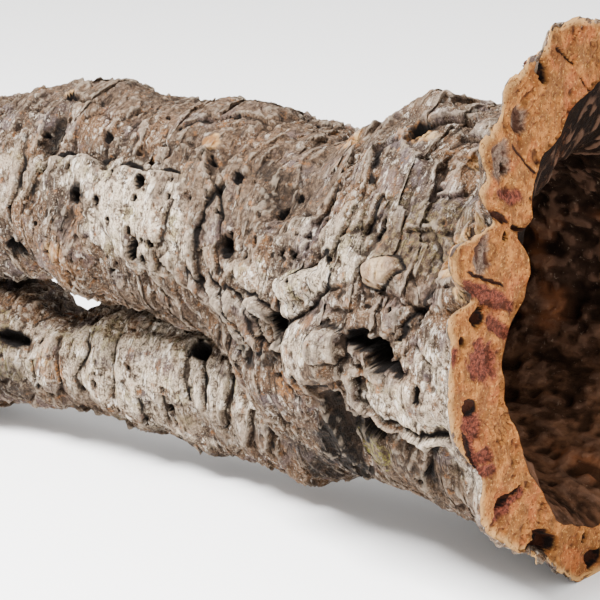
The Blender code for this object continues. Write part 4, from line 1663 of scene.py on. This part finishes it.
def stitched(outer: np.ndarray, outer_turn: np.ndarray, inner: np.ndarray, inner_turn: np.ndarray,
             outwards: bool) -> np.ndarray:
    """Triangles between two rings with different counts, taking the next point of whichever lags.

    Args:
        outer: vertex numbers of the outer ring.
        outer_turn: their rising angles.
        inner: vertex numbers of the inner ring.
        inner_turn: their rising angles.
        outwards: winds them the other way.

    Returns:
        Rows of four numbers, the last one twice.
    """
    first = np.concatenate([outer_turn, [outer_turn[0] + 2 * np.pi]])
    second = np.concatenate([inner_turn, [inner_turn[0] + 2 * np.pi]])
    i = j = 0
    rows = []
    while i < len(outer) or j < len(inner):
        a, b = outer[i % len(outer)], inner[j % len(inner)]
        if j == len(inner) or (i < len(outer) and first[i + 1] <= second[j + 1]):
            i += 1
            row = (a, b, outer[i % len(outer)])
        else:
            j += 1
            row = (a, b, inner[j % len(inner)])
        row = row if outwards else row[::-1]
        rows.append((*row, row[2]))
    return np.array(rows)


@dataclass
class Studio:
    """The plain pale floor, soft lights and the camera at the photograph's viewing angle."""

    azimuth: float = 37.0
    elevation: float = 15.0
    distance: float = 1.150
    target: tuple = (0.09524, -0.07471, 0.11670)
    lens: float = 167.07
    sensor: float = 36.0
    # Lights: name, azimuth and elevation in degrees, size in metres and power in watts.
    lights: tuple = (("key", -22.0, 60.0, 0.8, 182.0), ("fill", 80.0, 25.0, 1.5, 12.0))
    light_distance: float = 1.7
    surround: float = 1.28
    floor_radius: float = 4.0
    floor_sides: int = 64
    floor_colour: str = "#FDFCFB"  # paper white

    def build(self) -> None:
        """Makes them."""
        self.add_floor()
        self.add_lights()
        self.add_camera()

    def facing(self, azimuth: float, elevation: float, distance: float) -> Matrix:
        """Where a light or camera stands, looking at the target.

        Args:
            azimuth: degrees from -Y towards +X.
            elevation: degrees above the floor.
            distance: metres from the target.

        Returns:
            Its place and turn.
        """
        a, e = np.radians(azimuth), np.radians(elevation)
        back = Vector((np.sin(a) * np.cos(e), -np.cos(a) * np.cos(e), np.sin(e)))
        right = Vector((np.cos(a), np.sin(a), 0))
        up = back.cross(right)
        turn = Matrix((right, up, back)).transposed().to_4x4()
        return Matrix.Translation(Vector(self.target) + back * distance) @ turn

    def add_floor(self) -> None:
        """A disc under the bark, pale and matt."""
        angle = np.arange(self.floor_sides) * 2 * np.pi / self.floor_sides
        ring = self.floor_radius * np.stack([np.cos(angle), np.sin(angle), np.zeros_like(angle)], axis=-1)
        mesh = bpy.data.meshes.new("floor")
        mesh.from_pydata(ring.tolist(), [], [list(range(self.floor_sides))])
        material = bpy.data.materials.new("pale_matt_floor")
        material.use_nodes = True
        tree = material.node_tree
        tree.nodes.clear()
        inputs = {"Base Color": srgb(self.floor_colour), "Roughness": 0.9}
        shader = add_node(tree, "ShaderNodeBsdfPrincipled", inputs)
        add_node(tree, "ShaderNodeOutputMaterial", {"Surface": shader})
        mesh.materials.append(material)
        floor = bpy.data.objects.new("floor", mesh)
        bpy.context.scene.collection.objects.link(floor)

    def add_lights(self) -> None:
        """A big key from the upper left, a weak fill from the right and a bright even surround."""
        for name, azimuth, elevation, size, power in self.lights:
            lamp = bpy.data.lights.new(name, "AREA")
            lamp.size = size
            lamp.energy = power
            obj = bpy.data.objects.new(name, lamp)
            obj.matrix_world = self.facing(azimuth, elevation, self.light_distance)
            bpy.context.scene.collection.objects.link(obj)
        world = bpy.data.worlds.new("surround")
        world.use_nodes = True
        sky = world.node_tree.nodes["Background"]
        sky.inputs["Color"].default_value = (1, 1, 1, 1)
        sky.inputs["Strength"].default_value = self.surround
        bpy.context.scene.world = world

    def add_camera(self) -> None:
        """The camera, fitted to the photograph's outline."""
        data = bpy.data.cameras.new("camera")
        data.lens = self.lens
        data.sensor_width = self.sensor
        data.clip_end = 20.0
        camera = bpy.data.objects.new("camera", data)
        camera.matrix_world = self.facing(self.azimuth, self.elevation, self.distance)
        bpy.context.scene.collection.objects.link(camera)
        bpy.context.scene.camera = camera


def main() -> None:
    logging.basicConfig(level=logging.INFO)
    maker = Maker()
    bark, cork, inner = (finish.material() for finish in (WEATHERED_BARK, SAWN_CORK, INNER_BARK))
    main_skin = Skin(MAIN, start=0.0, rings=481, sides=520, bands=4, other=LOWER).build(maker, bark)
    lower_skin = Skin(LOWER, start=0.106, rings=360, sides=280, bands=2, other=MAIN).build(maker, bark)
    main_hollow = Hollow(MAIN, start=0.0, rings=190, sides=320, other=LOWER).build(maker, inner)
    lower_hollow = Hollow(LOWER, start=0.106, rings=110, sides=110, other=MAIN).build(maker, inner)
    mouth, end = {"ring": 0, "inwards": -1.0}, {"ring": -1, "inwards": 1.0}
    for face in (
        SawnFace("sawn_mouth", main_skin, main_hollow, levels=60, marks=MOUTH_MARKS, seed=301, **mouth),
        SawnFace("upper_branch_end", main_skin, main_hollow, levels=12, marks=(), seed=321, **end),
        SawnFace("lower_branch_end", lower_skin, lower_hollow, levels=10, marks=(), seed=341, **end),
    ):
        face.build(maker, cork)
    LOG.info("%d triangles in all", maker.triangles)
    Studio().build()


if __name__ == "__main__":
    main()
